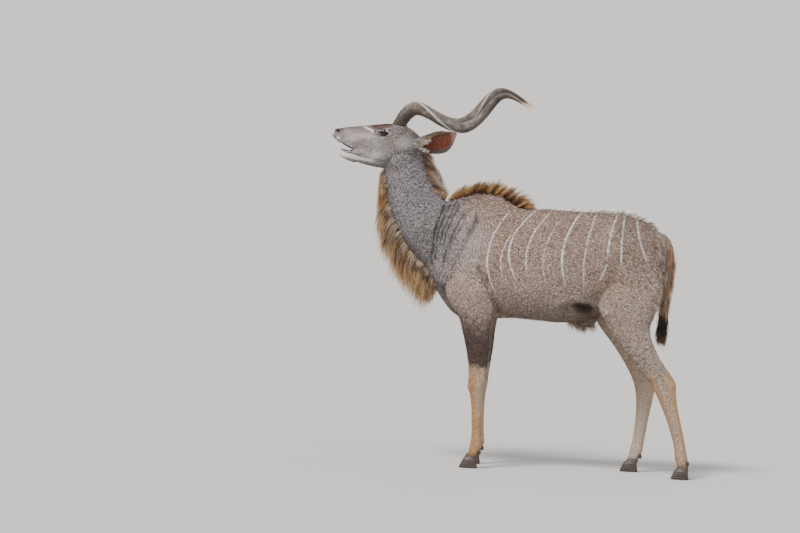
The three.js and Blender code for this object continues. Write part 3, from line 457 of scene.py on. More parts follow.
def slanted_rings(table, steps, sides, grow):
    t = curve_through(table, steps) * np.array([MM] * 5 + [1] * 3)
    a, b = vectors(t[:, 0], 0, t[:, 1]), vectors(t[:, 2], 0, t[:, 3])
    return cross_rings(a, b, *t[:, 4:].T, sides, grow)


def upright_rings(table, steps, sides, grow):
    return slanted_rings([(x, top, x, low, *rest) for x, top, low, *rest in table], steps, sides, grow)


def oval_rings(a, b, half, sides, grow):
    """Plain oval rings that span from points a to b."""
    two = np.full(len(half), 2.0)
    return cross_rings(a, b, half, two / 4, two, two, sides, grow)


def leg_rings(table, side, steps, sides, grow):
    t = curve_through(table, steps) * MM
    x, z, y = t[:, COLUMN[side]], t[:, 0], side * t[:, 5]
    return oval_rings(vectors(x - t[:, 3], y, z), vectors(x + t[:, 3], y, z), t[:, 4], sides, grow)


def tail_rings(steps, sides, grow):
    t = curve_through(TAIL, steps) * MM
    tangent = unit(np.gradient(t[:, :2], axis=0))
    centre = vectors(t[:, 0], 0, t[:, 1])
    normal = vectors(tangent[:, 1], 0, -tangent[:, 0]) * t[:, 2:3]
    return oval_rings(centre + normal, centre - normal, t[:, 3], sides, grow)


def ball(centre, radii, turn=0.0, rows=20, columns=28):
    """Rings of an ellipsoid in millimetres, turned in degrees about Y."""
    polar = np.linspace(0.02, np.pi - 0.02, rows)[:, None]
    angle = 2 * np.pi * np.arange(columns)[None] / columns
    points = vectors(np.cos(polar), np.sin(polar) * np.cos(angle), np.sin(polar) * np.sin(angle)) * radii
    x, y, z = points[..., 0], points[..., 1], points[..., 2]
    c, s = math.cos(math.radians(turn)), math.sin(math.radians(turn))
    return (vectors(x * c + z * s, y, z * c - x * s) + centre) * MM


def spindle(start, end, radii, rows=16, columns=20):
    """Rings of a muscle or a roll between two points in millimetres, with radii along it."""
    start, end = np.array(start, float), np.array(end, float)
    along = unit(end - start)
    across = unit(np.cross(along, [0.3, 1, 0.2]))
    other = np.cross(along, across)
    t = np.linspace(0, 1, rows)
    radius = np.interp(t, np.linspace(0, 1, len(radii)), radii) * np.sqrt(np.maximum(1 - (2 * t - 1) ** 8, 0.01))
    angle = 2 * np.pi * np.arange(columns) / columns
    circle = np.cos(angle)[:, None] * across + np.sin(angle)[:, None] * other
    return (start + (end - start) * t[:, None, None] + circle[None] * radius[:, None, None]) * MM


# Horns' and ears' own lines

HORN_ROOT, HORN_SPREAD, HORN_RADIUS = (-598, 49, 1682), 0.14, 30.5
# Each horn's rise, run and its power, three widths of the coil, turn in radians and its power
HORN_SHAPES = {
    -1: (0.21, 702.5, 1.088, (75, 51, 63.5), 9.8, 1.138),
    1: (0.256, 703.1, 1.142, (75, 31, 77.5), 10.31, 1.079),
}


def horn_line(side, t):
    """Points in metres at shares t along a horn, and the way from its spiral's axis to each."""
    rise, run, run_power, (first, middle, last), turn, turn_power = HORN_SHAPES[side]
    c, s = math.cos(rise), math.sin(rise)
    axis = np.array([c * math.cos(HORN_SPREAD), side * math.sin(HORN_SPREAD), s * math.cos(HORN_SPREAD)])
    up = np.array([-s, 0, c])
    outward = np.cross(axis, up)
    outward *= side * np.sign(outward[1])
    t = np.asarray(t, float)[:, None]

    def radial(at):
        angle = turn * at**turn_power
        return up * np.sin(angle) - outward * np.cos(angle)

    coil = first * (1 - t) ** 2 + 2 * middle * t * (1 - t) + last * t * t
    root = np.array(HORN_ROOT, float) * [1, side, 1] - radial(np.zeros((1, 1))) * first
    return (root + axis * run * t**run_power + radial(t) * coil) * MM, radial(t)


EAR_ROOT = np.array((-520, 72, 1596)) * MM
EAR_TIP = np.array((-306, 150, 1661)) * MM
EAR_DROP, EAR_TURN = 0.05, 0.2
# Share along the ear, half width, depth of the cup, half angle of its arc in degrees, sag
EAR_STATIONS = (
    (-0.06, 24, 21, 178, 0), (0.1, 29, 25, 168, 9), (0.2, 40, 30, 140, 18), (0.33, 49, 34, 112, 25),
    (0.48, 56, 33, 96, 30), (0.63, 56, 29, 88, 31), (0.78, 43, 21, 80, 25), (0.9, 25, 12, 72, 14), (1, 6, 4, 60, 4),
)


def ear_frame(side):
    """Root, length and the three directions of an ear: along, out of its cup, and to its lower edge."""
    root = EAR_ROOT * [1, side, 1]
    x, y, z = EAR_TIP * [1, side, 1] - root
    if side > 0:
        c, s = math.cos(EAR_DROP), math.sin(EAR_DROP)
        x, z = x * c + z * s, z * c - x * s
        c, s = math.cos(EAR_TURN), math.sin(EAR_TURN)
        x, y = x * c - y * s, x * s + y * c
    reach = np.array([x, y, z])
    along = unit(reach)
    face = np.array([-0.1, side * 0.92, -0.3])
    face = unit(face - along * (face @ along))
    wide = np.cross(along, face)
    return root, float(np.linalg.norm(reach)), along, face, wide * -np.sign(wide[2])


def ear_stump(side):
    root, length, along, face, wide = ear_frame(side)
    table = np.array([(-0.34, 46, 42), (-0.2, 40, 37), (-0.08, 34, 31), (0.02, 30, 27), (0.1, 27, 24)])
    t = curve_through(table, 14)
    angle = 2 * np.pi * np.arange(28) / 28
    ring = face * -np.cos(angle)[:, None] * t[:, None, 2:3] + wide * np.sin(angle)[:, None] * t[:, None, 1:2]
    sag = wide * 90 * np.maximum(t[:, None, :1], 0)
    return root + along * length * t[:, None, :1] + (ring + sag) * MM


# The skin

EYE = np.array((-664, 63, 1641)) * MM
LID_HALF_LENGTH, LID_HALF_HEIGHT, LID_TILT = 0.0195, 0.0092, 0.12


def body_forms():
    """Named rings of each main form of the body, shrunk to the skin under the coat."""
    deep = -sizes().coat_depth
    forms = {
        "torso": upright_rings(TORSO, 150, 96, deep),
        "neck": slanted_rings(NECK, 90, 80, deep),
        "skull": upright_rings(SKULL, 110, 64, deep * 0.5),
        "jaw": upright_rings(JAW, 60, 56, deep * 0.4),
        "tail": tail_rings(70, 32, deep * 1.5),
    }
    for word, side in SIDES:
        forms[f"foreleg_{word}"] = leg_rings(FORELEG, side, 130, 44, deep * 0.7)
        forms[f"hindleg_{word}"] = leg_rings(HINDLEG, side, 140, 48, deep * 0.7)
    return forms


# Small forms that fuse with the main ones, at |y|. Balls: centre, half sizes and turn about Y.
# Spindles: two ends and the radii between them. Where a leg's name and height come first, the
# centre's x counts from the middle of that leg there.
BALLS = (
    ((-664, 60, 1643), (33, 23.5, 23), 10), ((-640, 66, 1662), (28, 14, 10), 6),
    ((-668, 58, 1560), (58, 18, 62), 12), ((-742, 44, 1606), (70, 9, 12), 12),
    ((-893, 27, 1634), (24, 13, 17), -20), ((-560, 52, 1520), (46, 26, 52), -16),
    # point of the shoulder, elbow, hip and thigh
    ((-330, 110, 962), (52, 40, 60), 20), ((-136, 130, 872), (70, 30, 80), 30),
    ((500, 128, 1180), (60, 40, 60), 20), ((600, 122, 1020), (130, 62, 160), -18),
)
SPINDLES = (
    ((-905, 16, 1598), (-872, 30, 1583), (9, 9, 8)), ((-872, 30, 1583), (-818, 34, 1557), (8, 9, 9)),
    ((-868, 15, 1527), (-818, 28, 1544), (9, 9, 8)), ((-188, 112, 1290), (-312, 108, 990), (20, 34, 40)),
)
LIMB_BALLS = (
    # forearm, knee and fetlock, then stifle, gaskin, hock and fetlock
    (FORELEG, 750, (66, 122, 772), (22, 20, 34), 10), (FORELEG, 400, (-6, 124, 408), (38, 29.5, 40), 0),
    (FORELEG, 118, (2, 124, 112), (28, 24, 26), 0), (HINDLEG, 815, (-66, 132, 818), (62, 46, 74), 20),
    (HINDLEG, 729, (20, 132, 720), (60, 44, 100), -30), (HINDLEG, 425, (2, 142, 424), (42, 28, 36), 0),
    (HINDLEG, 118, (2, 142, 112), (30, 25, 26), 0),
)


def small_forms():
    """Muscles, bones and soft parts that fuse with the main forms. Millimetres."""
    made = [spindle((-812, 22, 1553), (-812, -22, 1553), (12, 13, 12)),
            spindle((-876, 0, 1521), (-796, 0, 1503), (13, 21, 22))]
    made += [ball((x, 0, z + 3), (radius * 1.5, radius * 0.85, radius)) for x, z, radius in SHEATH]
    for _, side in SIDES:
        flip = np.array([1, side, 1])

        def middle(table, height):
            return np.array([next(row[COLUMN[side]] for row in table if row[0] == height), 0, 0])

        made += [ball(at * flip, radii, turn) for at, radii, turn in BALLS]
        made += [spindle(a * flip, b * flip, radii) for a, b, radii in SPINDLES]
        made += [ball(middle(leg, z) + at * flip, radii, turn) for leg, z, at, radii, turn in LIMB_BALLS]
        ends = middle(HINDLEG, 575) + [52, side * 141, 590], middle(HINDLEG, 425) + [40, side * 142, 452]
        made += [spindle(*ends, (13, 15, 12)), ear_stump(side)]
        points, _ = horn_line(side, [0.0, 0.02])
        low = points[0] + np.array([0, -10 * side, -38]) * MM
        made.append(spindle(low / MM, (points[1] + [0, 0, 0.001]) / MM, (36, 38, 36), 14, 28))
    return made


def fused(points, triangles, voxel):
    """One closed mesh over overlapping closed forms."""
    piece = place("fusing", array_mesh("fusing", points, triangles))
    remesh = piece.modifiers.new("Fuse", "REMESH")
    remesh.mode, remesh.voxel_size, remesh.adaptivity = "VOXEL", voxel, 0.0
    return baked(piece, "fused")


def baked(piece, name):
    """The evaluated mesh of an object, which is then removed."""
    graph = bpy.context.evaluated_depsgraph_get()
    mesh = bpy.data.meshes.new_from_object(piece.evaluated_get(graph), preserve_all_data_layers=True, depsgraph=graph)
    mesh.name = name
    old = piece.data
    bpy.data.objects.remove(piece)
    if old.users == 0:
        bpy.data.meshes.remove(old)
    return mesh


def relaxed(points, edges, rounds, weight):
    """Points drawn towards their neighbours' mean by a weight each, some rounds over."""
    total = len(points)
    near = np.concatenate([edges[:, 0], edges[:, 1]])
    far = np.concatenate([edges[:, 1], edges[:, 0]])
    count = np.maximum(np.bincount(near, minlength=total), 1)
    for _ in range(rounds):
        mean = np.stack([np.bincount(near, points[far, k], total) / count for k in range(points.shape[1])], -1)
        points = points + (mean - points) * weight
    return points


def near_line(points, line):
    """Distance from points to a line of straight pieces, both in two dimensions."""
    best = np.full(len(points), 1e9)
    for a, b in zip(line[:-1], line[1:]):
        way = b - a
        t = np.clip((points - a) @ way / (way @ way), 0, 1)
        best = np.minimum(best, np.linalg.norm(points - a - t[:, None] * way, axis=1))
    return best


def fold(points, normals, moved, crease):
    """Sinks and lifts the skin along its folds, which waver and come and go, and notes how much painted shade darkens
    each point.
    """
    x, z = points[:, 0], points[:, 2]
    side_on = smoothstep(0.15, 0.6, np.abs(normals[:, 1]))
    outward = np.abs(points[:, 1])
    waver = np.column_stack([np.sin(42 * z + 3) + 0.6 * np.sin(97 * z + 1), np.sin(37 * x) + 0.5 * np.sin(90 * x)])
    for number, (line, half, depth, low, high, dark) in enumerate(FOLDS):
        seen = points[:, [0, 2]] + waver * min(0.3 * half, 4) * MM
        reach = near_line(seen, np.array(line, float) * MM) / (half * MM)
        strength = 0.72 + 0.28 * np.sin(60 * z + 2.1 * number) * np.sin(47 * x + number)
        weight = np.exp(-(reach**2)) * side_on * (outward > low * MM) * (outward < high * MM) * strength
        moved -= normals * (weight * depth * MM)[:, None]
        # how strongly painted shade darkens the fold here
        crease[:] = np.maximum(crease, weight * dark)


def open_eye(points, moved, crease, side):
    """Lays the skin round an eyeball and opens it between the lids."""
    eye, radius = EYE * [1, side, 1], sizes().eye
    outside = points[:, 1] * side > 0.035
    offset = points - eye
    c, s = math.cos(LID_TILT), math.sin(LID_TILT)
    along = offset[:, 0] * c - offset[:, 2] * s
    up = offset[:, 0] * s + offset[:, 2] * c
    lid = np.abs(along / LID_HALF_LENGTH) ** 1.6 + np.abs(up / LID_HALF_HEIGHT) ** 1.6
    flat = np.sqrt(np.maximum(radius**2 - offset[:, 0] ** 2 - offset[:, 2] ** 2, 0))
    opening = (lid < 1.25) & outside
    moved[opening, 1] = (eye[1] + side * (flat - 0.0035))[opening]
    near = outside * (np.abs(offset[:, 0]) < 0.05) * (np.abs(offset[:, 2]) < 0.04)
    moved[:, 1] -= side * 0.0012 * np.exp(-((lid - 1.6) ** 2) / 0.5) * near
    # the fold over the upper lid and the tear gland in front
    brow = np.exp(-(((up - 0.0165) / 0.0035) ** 2)) * near * (np.abs(along) < 0.03)
    moved[:, 1] -= side * 0.0022 * brow
    tear = np.linalg.norm((points - eye - [-0.036, side * 0.008, -0.01]) / [0.02, 0.03, 0.008], axis=1)
    moved[:, 1] -= side * 0.005 * np.exp(-(tear**2))
    # painted shade in the tear gland's pit and under the fold over the upper lid
    crease[:] = np.maximum(crease, np.maximum(np.exp(-(tear**2)) * 0.7, brow * 0.6))


def open_nostril(points, normals, moved, crease, side):
    """Sinks a nostril and raises its rim."""
    local = points - [-0.903, side * 0.036, 1.6375]
    x, y, z = local.T
    back, up = x * 0.87 - z * 0.5, x * 0.5 + z * 0.87
    hole = np.linalg.norm(vectors(back / 0.013, y / 0.02, (up - 14 * back**2) / 0.0048), axis=1)
    moved -= np.array([-0.25, side * 0.95, 0.1]) * (0.012 * np.exp(-(hole**2.4)))[:, None]
    moved += normals * (0.0022 * np.exp(-((hole - 1.9) ** 2) / 0.3) * (np.abs(x) < 0.03))[:, None]
    # painted shade in the nostril's hole
    crease[:] = np.maximum(crease, np.exp(-(hole**2)) * 1.15)


def sculpt(points, normals):
    """The skin with its folds, eyes and nostrils, and the painted shade that darkens each point in its folds and
    hollows.
    """
    moved, crease = points.copy(), np.zeros(len(points))
    fold(points, normals, moved, crease)
    for _, side in SIDES:
        open_eye(points, moved, crease, side)
        open_nostril(points, normals, moved, crease, side)
    return moved, crease


def skin_mesh():
    """The whole skin as one closed mesh: forms fused, smoothed, folded and thinned."""
    setting = sizes()
    forms = body_forms()
    solids = [closed_loft(grid) for grid in list(forms.values()) + small_forms()]
    mesh = fused(*gather(solids), setting.voxel)
    points = numbers(mesh.vertices, "co", 3).astype(float)
    edges = whole_numbers(mesh.edges, "vertices", 2)
    trunk = smoothstep(0.55, 0.8, points[:, 2]) * smoothstep(-0.5, -0.4, points[:, 0])
    head = smoothstep(-0.52, -0.6, points[:, 0]) * smoothstep(1.4, 1.46, points[:, 2])
    points = relaxed(points, edges, 3, 0.7)
    points = relaxed(points, edges, 26, (0.08 + 0.82 * trunk * (1 - head) + 0.12 * (1 - head) * (1 - trunk))[:, None])
    mesh.vertices.foreach_set("co", points.astype(np.float32).ravel())
    mesh.update()
    points, crease = sculpt(points, numbers(mesh.vertices, "normal", 3).astype(float))
    points = relaxed(points, edges, 1, 0.35)
    mesh.vertices.foreach_set("co", points.astype(np.float32).ravel())
    keep(mesh, crease=crease)
    mesh.update()
    piece = place("thinning", mesh)
    thin = piece.modifiers.new("Thin", "DECIMATE")
    thin.ratio = setting.skin_share
    thin.use_collapse_triangulate = True
    result = baked(piece, "skin")
    result.polygons.foreach_set("use_smooth", np.ones(len(result.polygons), bool))
    return result, forms


# Node trees


def node(tree, kind, values=None, **settings):
    """Adds a node, sets it up, fills or links its sockets, and gives its outputs as wires."""
    made = tree.nodes.new(kind)
    row, column = divmod(len(tree.nodes), 12)
    made.location = (column * 190, -row * 260)
    for key, value in settings.items():
        setattr(made, key, value)
    for key, value in (values or {}).items():
        plug(tree, value, made.inputs[key])
    return Outputs(tree, made.outputs)


def plug(tree, value, socket):
    """Links a wire to a socket, or sets the socket's own value."""
    if isinstance(value, Wire):
        tree.links.new(value.socket, socket)
    else:
        socket.default_value = value


class Outputs:
    """A node's outputs, given as wires by name or number."""

    def __init__(self, tree, sockets):
        self.tree, self.sockets = tree, sockets

    def __getitem__(self, key):
        return Wire(self.tree, self.sockets[key])


class Wire:
    """A value inside a node tree. Arithmetic on it adds the nodes that work it out."""

    def __init__(self, tree, socket):
        self.tree, self.socket = tree, socket

    def math(self, operation, *others, clamp=False):
        values = dict(enumerate((self, *others)))
        return node(self.tree, "ShaderNodeMath", values, operation=operation, use_clamp=clamp)[0]

    def vector(self, operation, *others):
        out = "Value" if operation in ("LENGTH", "DOT_PRODUCT") else "Vector"
        return node(self.tree, "ShaderNodeVectorMath", dict(enumerate((self, *others))), operation=operation)[out]

    def scaled(self, factor):
        return node(self.tree, "ShaderNodeVectorMath", {0: self, "Scale": factor}, operation="SCALE")["Vector"]

    def xyz(self):
        parts = node(self.tree, "ShaderNodeSeparateXYZ", {0: self})
        return parts[0], parts[1], parts[2]

    def ramp(self, from_low, from_high, to_low=0.0, to_high=1.0):
        """This value eased from one range to another."""
        values = {"Value": self, "From Min": from_low, "From Max": from_high, "To Min": to_low, "To Max": to_high}
        return node(self.tree, "ShaderNodeMapRange", values, interpolation_type="SMOOTHSTEP")[0]

    def under(self, mask, paint):
        """This colour with another laid over it."""
        return node(self.tree, "ShaderNodeMix", {0: mask, 6: self, 7: paint}, data_type="RGBA")[2]

    def __add__(self, other):
        return self.math("ADD", other)

    def __sub__(self, other):
        return self.math("SUBTRACT", other)

    def __rsub__(self, other):
        return self.math("MULTIPLY_ADD", -1.0, other)

    def __mul__(self, other):
        return self.math("MULTIPLY", other)

    def __truediv__(self, other):
        return self.math("DIVIDE", other)

    __radd__, __rmul__ = __add__, __mul__


def noise(place_, scale, detail=2.0, out=0):
    return node(place_.tree, "ShaderNodeTexNoise", {"Vector": place_, "Scale": scale, "Detail": detail})[out]


def joined(x, y, z=0.0):
    tree = next(part.tree for part in (x, y, z) if isinstance(part, Wire))
    return node(tree, "ShaderNodeCombineXYZ", {0: x, 1: y, 2: z})[0]


def rgb(value):
    return (*tuple(value)[:3], 1.0)


def mixed(mask, first, second):
    """One plain colour turning into another by a mask."""
    return node(mask.tree, "ShaderNodeMix", {0: mask, 6: rgb(first), 7: rgb(second)}, data_type="RGBA")[2]


FLOAT, VECTOR, COLOUR = "NodeSocketFloat", "NodeSocketVector", "NodeSocketColor"
GEOMETRY, OBJECT, MATERIAL, INTEGER = "NodeSocketGeometry", "NodeSocketObject", "NodeSocketMaterial", "NodeSocketInt"


def node_group(name, result, socket, *inputs):
    """Turns a function from a tree and its inputs to one output into one that gives the node group."""

    def wrap(build):
        def tree_of():
            if name in bpy.data.node_groups:
                return bpy.data.node_groups[name]
            kind = "GeometryNodeTree" if socket == GEOMETRY else "ShaderNodeTree"
            tree = bpy.data.node_groups.new(name, kind)
            for word, kind, value in inputs:
                made = tree.interface.new_socket(name=word, in_out="INPUT", socket_type=kind)
                if value is not None:
                    made.default_value = value
            tree.interface.new_socket(name=result, in_out="OUTPUT", socket_type=socket)
            ends = tree.nodes.new("NodeGroupOutput").inputs
            given = Outputs(tree, tree.nodes.new("NodeGroupInput").outputs)
            plug(tree, build(tree, given), ends[result])
            return tree

        return tree_of

    return wrap


def use(tree, source, values):
    """Places a node group with its own values and gives its output."""
    return node(tree, "ShaderNodeGroup", values, node_tree=source())[0]


def layered(tint, layers):
    """A colour with others laid over it in turn, each by its mask and its name or value."""
    for mask, paint in layers:
        tint = tint.under(mask, rgb(getattr(colours(), paint) if isinstance(paint, str) else paint))
    return tint


SHARED = (("Place", VECTOR, None), ("Softness", FLOAT, 0.5), ("Strength", FLOAT, 1.0))


def faded(given, reach):
    """A mask: full inside a reach of 1, faded round it by its softness."""
    return reach.ramp(1.0 - given["Softness"], 1.0 + given["Softness"], 1.0, 0.0) * given["Strength"]


@node_group("Soft Spot", "Mask", FLOAT, *SHARED, ("Centre", VECTOR, None), ("Size", VECTOR, (1, 1, 1)),
            ("Turn", FLOAT, 0.0))
def soft_spot(tree, given):
    """A soft ellipsoid of influence round a centre, turned about Y."""
    offset = given["Place"].vector("SUBTRACT", given["Centre"])
    turned = node(tree, "ShaderNodeVectorRotate", {"Vector": offset, "Angle": given["Turn"]}, rotation_type="Y_AXIS")
    return faded(given, turned[0].vector("DIVIDE", given["Size"]).vector("LENGTH"))


@node_group("Soft Streak", "Mask", FLOAT, *SHARED, ("From", VECTOR, None), ("To", VECTOR, (1, 0, 0)),
            ("Half Width", FLOAT, 0.01))
def soft_streak(tree, given):
    """A soft capsule of influence between two points."""
    way = given["To"].vector("SUBTRACT", given["From"])
    offset = given["Place"].vector("SUBTRACT", given["From"])
    share_ = offset.vector("DOT_PRODUCT", way).math("DIVIDE", way.vector("DOT_PRODUCT", way), clamp=True)
    return faded(given, offset.vector("SUBTRACT", way.scaled(share_)).vector("LENGTH") / given["Half Width"])


@node_group("Flank Stripe", "Mask", FLOAT, *SHARED, ("Top", VECTOR, (0, 0, 1)), ("Bottom", VECTOR, None),
            ("Bow", FLOAT, 0.0), ("Half Width", FLOAT, 0.005))
def flank_stripe(tree, given):
    """A thin bowed stripe seen from the side, the same on both flanks."""
    (x, _, z), (top_x, _, top_z), (low_x, _, low_z) = (given[word].xyz() for word in ("Place", "Top", "Bottom"))
    s = (top_z - z) / (top_z - low_z)
    middle = s * (low_x - top_x) + top_x + s * (1.0 - s) * 4.0 * given["Bow"]
    line = ((x - middle).math("ABSOLUTE") / given["Half Width"]).ramp(0.7, 1.3, 1.0, 0.0)
    return line * s.ramp(-0.02, 0.06) * s.ramp(0.72, 1.0, 1.0, 0.0) * given["Strength"]


@node_group("Kudu Markings", "Color", COLOUR, ("Place", VECTOR, None), ("Limb", VECTOR, None), ("Crease", FLOAT, 0.0))
def markings(tree, given):
    """The coat's colours over the whole body, read at a place in the body's own space."""
    c = colours()
    at = given["Place"]
    jitter = noise(at, 60.0, 3.0, "Color").vector("SUBTRACT", (0.5, 0.5, 0.5)).scaled(0.011)
    ragged = at.vector("ADD", jitter)
    x, y, z = ragged.xyz()
    folded = joined(x, y.math("ABSOLUTE"), z)
    front, outer, leg = given["Limb"].xyz()

    def mark(kind, soft, strength, first, second, last):
        """The mask of a row of MARKS."""
        first, second = [v * MM for v in first], [v * MM for v in second]
        values = {"Place": folded, "Softness": soft, "Strength": strength}
        if kind == "spot":
            return use(tree, soft_spot, {**values, "Centre": first, "Size": second, "Turn": math.radians(last)})
        return use(tree, soft_streak, {**values, "From": first, "To": second, "Half Width": last * MM})

    def spot(centre, size, turn, soft, strength):
        return mark("spot", soft, strength, centre, size, turn)

    def strokes(turn, scale):
        """Flecks drawn out along a way seen from the side, turned in degrees below level."""
        values = {"Vector": at, "Angle": math.radians(-turn)}
        turned = node(tree, "ShaderNodeVectorRotate", values, rotation_type="Y_AXIS")[0]
        return noise(turned.vector("MULTIPLY", (0.22, 0.8, 1.0)), scale, 2.0)

    # tones: warmer blotches, painted shade darkening the body towards the belly, the neck's grey and the face's
    blotch = noise(at, 4.5, 3.0)
    tint = mixed(blotch.ramp(0.35, 0.65), c.coat, c.coat_warm)
    neck = (z * -0.12 + x).ramp(-0.34, -0.5) * z.ramp(0.72, 0.95)
    tint = layered(tint, (
        # painted shade: darker towards the belly
        (z.ramp(0.98, 0.8) * 0.6, "belly"),
        (spot((640, 110, 1130), (170, 190, 170), 0, 0.9, 0.35), "leg_pale"),
        (spot((-215, 110, 1130), (110, 90, 170), 12, 0.6, 0.45), "pale"),
        (neck, "neck"),
        (spot((-330, 90, 1180), (60, 120, 170), 12, 0.6, 0.45), "neck"),
        (spot((-430, 80, 1110), (66, 120, 160), -14, 0.6, 0.75), "neck_low"),
        (spot((-392, 60, 980), (26, 130, 90), -14, 0.6, 0.5), "pale"),
        (spot((-720, 0, 1590), (215, 120, 130), 12, 0.35, 1.0), "face"),
        (spot((-560, 0, 1664), (72, 90, 40), 0, 0.5, 0.75), "hair_root"),
    ))
    # strokes of darker and paler hair, strongest on the neck, and steeper on shoulder and haunch
    haunch = x.ramp(0.42, 0.56) * z.ramp(0.88, 0.98)
    shoulder = x.ramp(0.0, -0.14) * z.ramp(0.8, 0.9)
    level, steep, upright = strokes(8, 620.0), strokes(42, 430.0), strokes(64, 560.0)
    grain = level + haunch * (steep - level)
    grain = grain + shoulder * (upright - grain)
    wide = noise(at, 250.0, 2.0)
    head = x.ramp(-0.6, -0.66)
    speckle = grain * 0.6 + wide * 0.4
    tint = layered(tint, (
        (speckle.ramp(0.5, 0.42) * (0.7 + neck * 0.3) * (1.0 - head * 0.4), "leg_dark"),
        (speckle.ramp(0.52, 0.6) * (0.55 + neck * 0.05) * (1.0 - head * 0.4), "white"),
        *((mark(kind, *shape), word) for kind, word, *shape in MARKS),
    ))
    # white stripes, broken a little by the hair
    broken = grain.ramp(0.35, 0.5, 0.7, 1.0) * z.ramp(0.8, 0.86)
    for top_x, top_z, low_x, low_z, bow, half, power in STRIPES:
        values = {"Place": ragged, "Top": (top_x * MM, 0, top_z * MM), "Bottom": (low_x * MM, 0, low_z * MM),
                  "Bow": bow * MM, "Half Width": half * MM, "Strength": power}
        tint = tint.under(use(tree, flank_stripe, values) * broken, rgb(c.white))
    # legs: inner sides, the dark patch above the knee, tan fronts and pale backs below it
    fore, hind = leg * x.ramp(0.1, 0.0), leg * x.ramp(0.2, 0.3)
    rough = (noise(at, 34.0, 3.0) - 0.5) * 0.16
    high = z + rough
    below = fore * high.ramp(0.53, 0.47)
    inner = outer.ramp(-0.1, -0.75) * leg
    back = hind * high.ramp(0.56, 0.44)
    hock = hind * high.ramp(0.31, 0.41) * high.ramp(0.45, 0.55, 1.0, 0.0)
    edge = front.math("ABSOLUTE")
    patch = fore * (z + rough * 0.5).ramp(0.49, 0.525) * (high + front * 0.03).ramp(0.86, 0.62)
    return layered(tint, (
        (inner * high.ramp(0.95, 0.8, 0.0, 0.75), "leg_pale"),
        (below * 0.85, "leg_pale"),
        (below * (front + rough * 4.0).ramp(0.15, -0.4) * 0.8, "leg_tan"),
        (below * high.ramp(0.32, 0.22) * 0.65, "leg_tan"),
        (patch * outer.ramp(-0.8, -0.2, 0.45, 0.95), "leg_dark"),
        (back * 0.5, "leg_pale"),
        (back * (edge + rough * 3.0).ramp(0.2, 0.85) * 0.8, "leg_tan"),
        (hock * (front + rough * 3.0).ramp(0.0, 0.6) * 0.8, "hair_tan"),
        (back * outer.ramp(0.1, -0.6) * 0.3, "pale"),
        (leg * z.ramp(0.6, 0.5) * speckle.ramp(0.5, 0.4) * 0.6, "leg_dark"),
        (leg * z.ramp(0.085, 0.055) * 0.75, "dark"),
        (spot((790, 0, 1000), (60, 60, 230), 0, 0.12, 0.75), "coat_warm"),
        (spot((766, 0, 750), (45, 45, 80), 0, 0.2, 0.95), "hair_dark"),
        # painted shade in the skin's folds, hollows and nostrils
        (given["Crease"].math("MINIMUM", 1.0) * 0.85, "dark"),
    ))


@node_group("Short Hair Relief", "Height", FLOAT, ("Place", VECTOR, None), ("Scale", FLOAT, 420.0))
def hair_relief(tree, given):
    """Fine ridges of short hair that follow the lie of the coat."""
    fine = noise(given["Place"].vector("MULTIPLY", (0.35, 1.0, 0.7)), given["Scale"], 3.0)
    return fine + noise(given["Place"], 60.0, 3.0) * 0.8


class Finish:
    """A material with its Principled BSDF, whose plain sockets are set here."""

    def __init__(self, name, **shine):
        self.made = bpy.data.materials.new(name)
        self.made.use_nodes = True
        self.tree = self.made.node_tree
        self.shader = self.tree.nodes["Principled BSDF"]
        for key, value in shine.items():
            self.shader.inputs[key.replace("_", " ")].default_value = value

    def place(self):
        return node(self.tree, "ShaderNodeTexCoord")["Object"]

    def read(self, name, output="Fac"):
        return node(self.tree, "ShaderNodeAttribute", attribute_name=name)[output]

    def marked(self, place_):
        """The body's markings at a place."""
        values = {"Place": place_, "Limb": self.read("limb", "Vector"), "Crease": self.read("crease")}
        return use(self.tree, markings, values)

    def relief(self):
        return use(self.tree, hair_relief, {"Place": self.place()})

    def ends(self, tint, height=None, strength=0.4, reach=0.001, roughness=None):
        """Links the finished colour, relief and roughness, and gives the material."""
        plug(self.tree, tint, self.shader.inputs["Base Color"])
        if height:
            values = {"Height": height, "Strength": strength, "Distance": reach}
            plug(self.tree, node(self.tree, "ShaderNodeBump", values)[0], self.shader.inputs["Normal"])
        if roughness:
            plug(self.tree, roughness, self.shader.inputs["Roughness"])
        return self.made


def skin_material():
    f = Finish("kudu_skin", Roughness=0.72, Specular_IOR_Level=0.25)
    return f.ends(f.marked(f.place()).scaled(0.8), f.relief(), 0.5, 0.0015)


def coat_material():
    """Short hair: the markings at each tuft's root, with its own tone, darker at the root."""
    f = Finish("kudu_coat", Roughness=0.65, Specular_IOR_Level=0.3)
    place_ = f.read("root", "Vector").scaled(0.35).vector("ADD", f.place().scaled(0.65))
    tone = f.read("tone")
    shade = tone.ramp(0.0, 0.45, 0.55, 0.95) * tone.ramp(0.6, 1.0, 1.0, 1.5) * f.read("along").ramp(0.0, 0.8, 0.8, 1.1)
    return f.ends(f.marked(place_).scaled(shade))


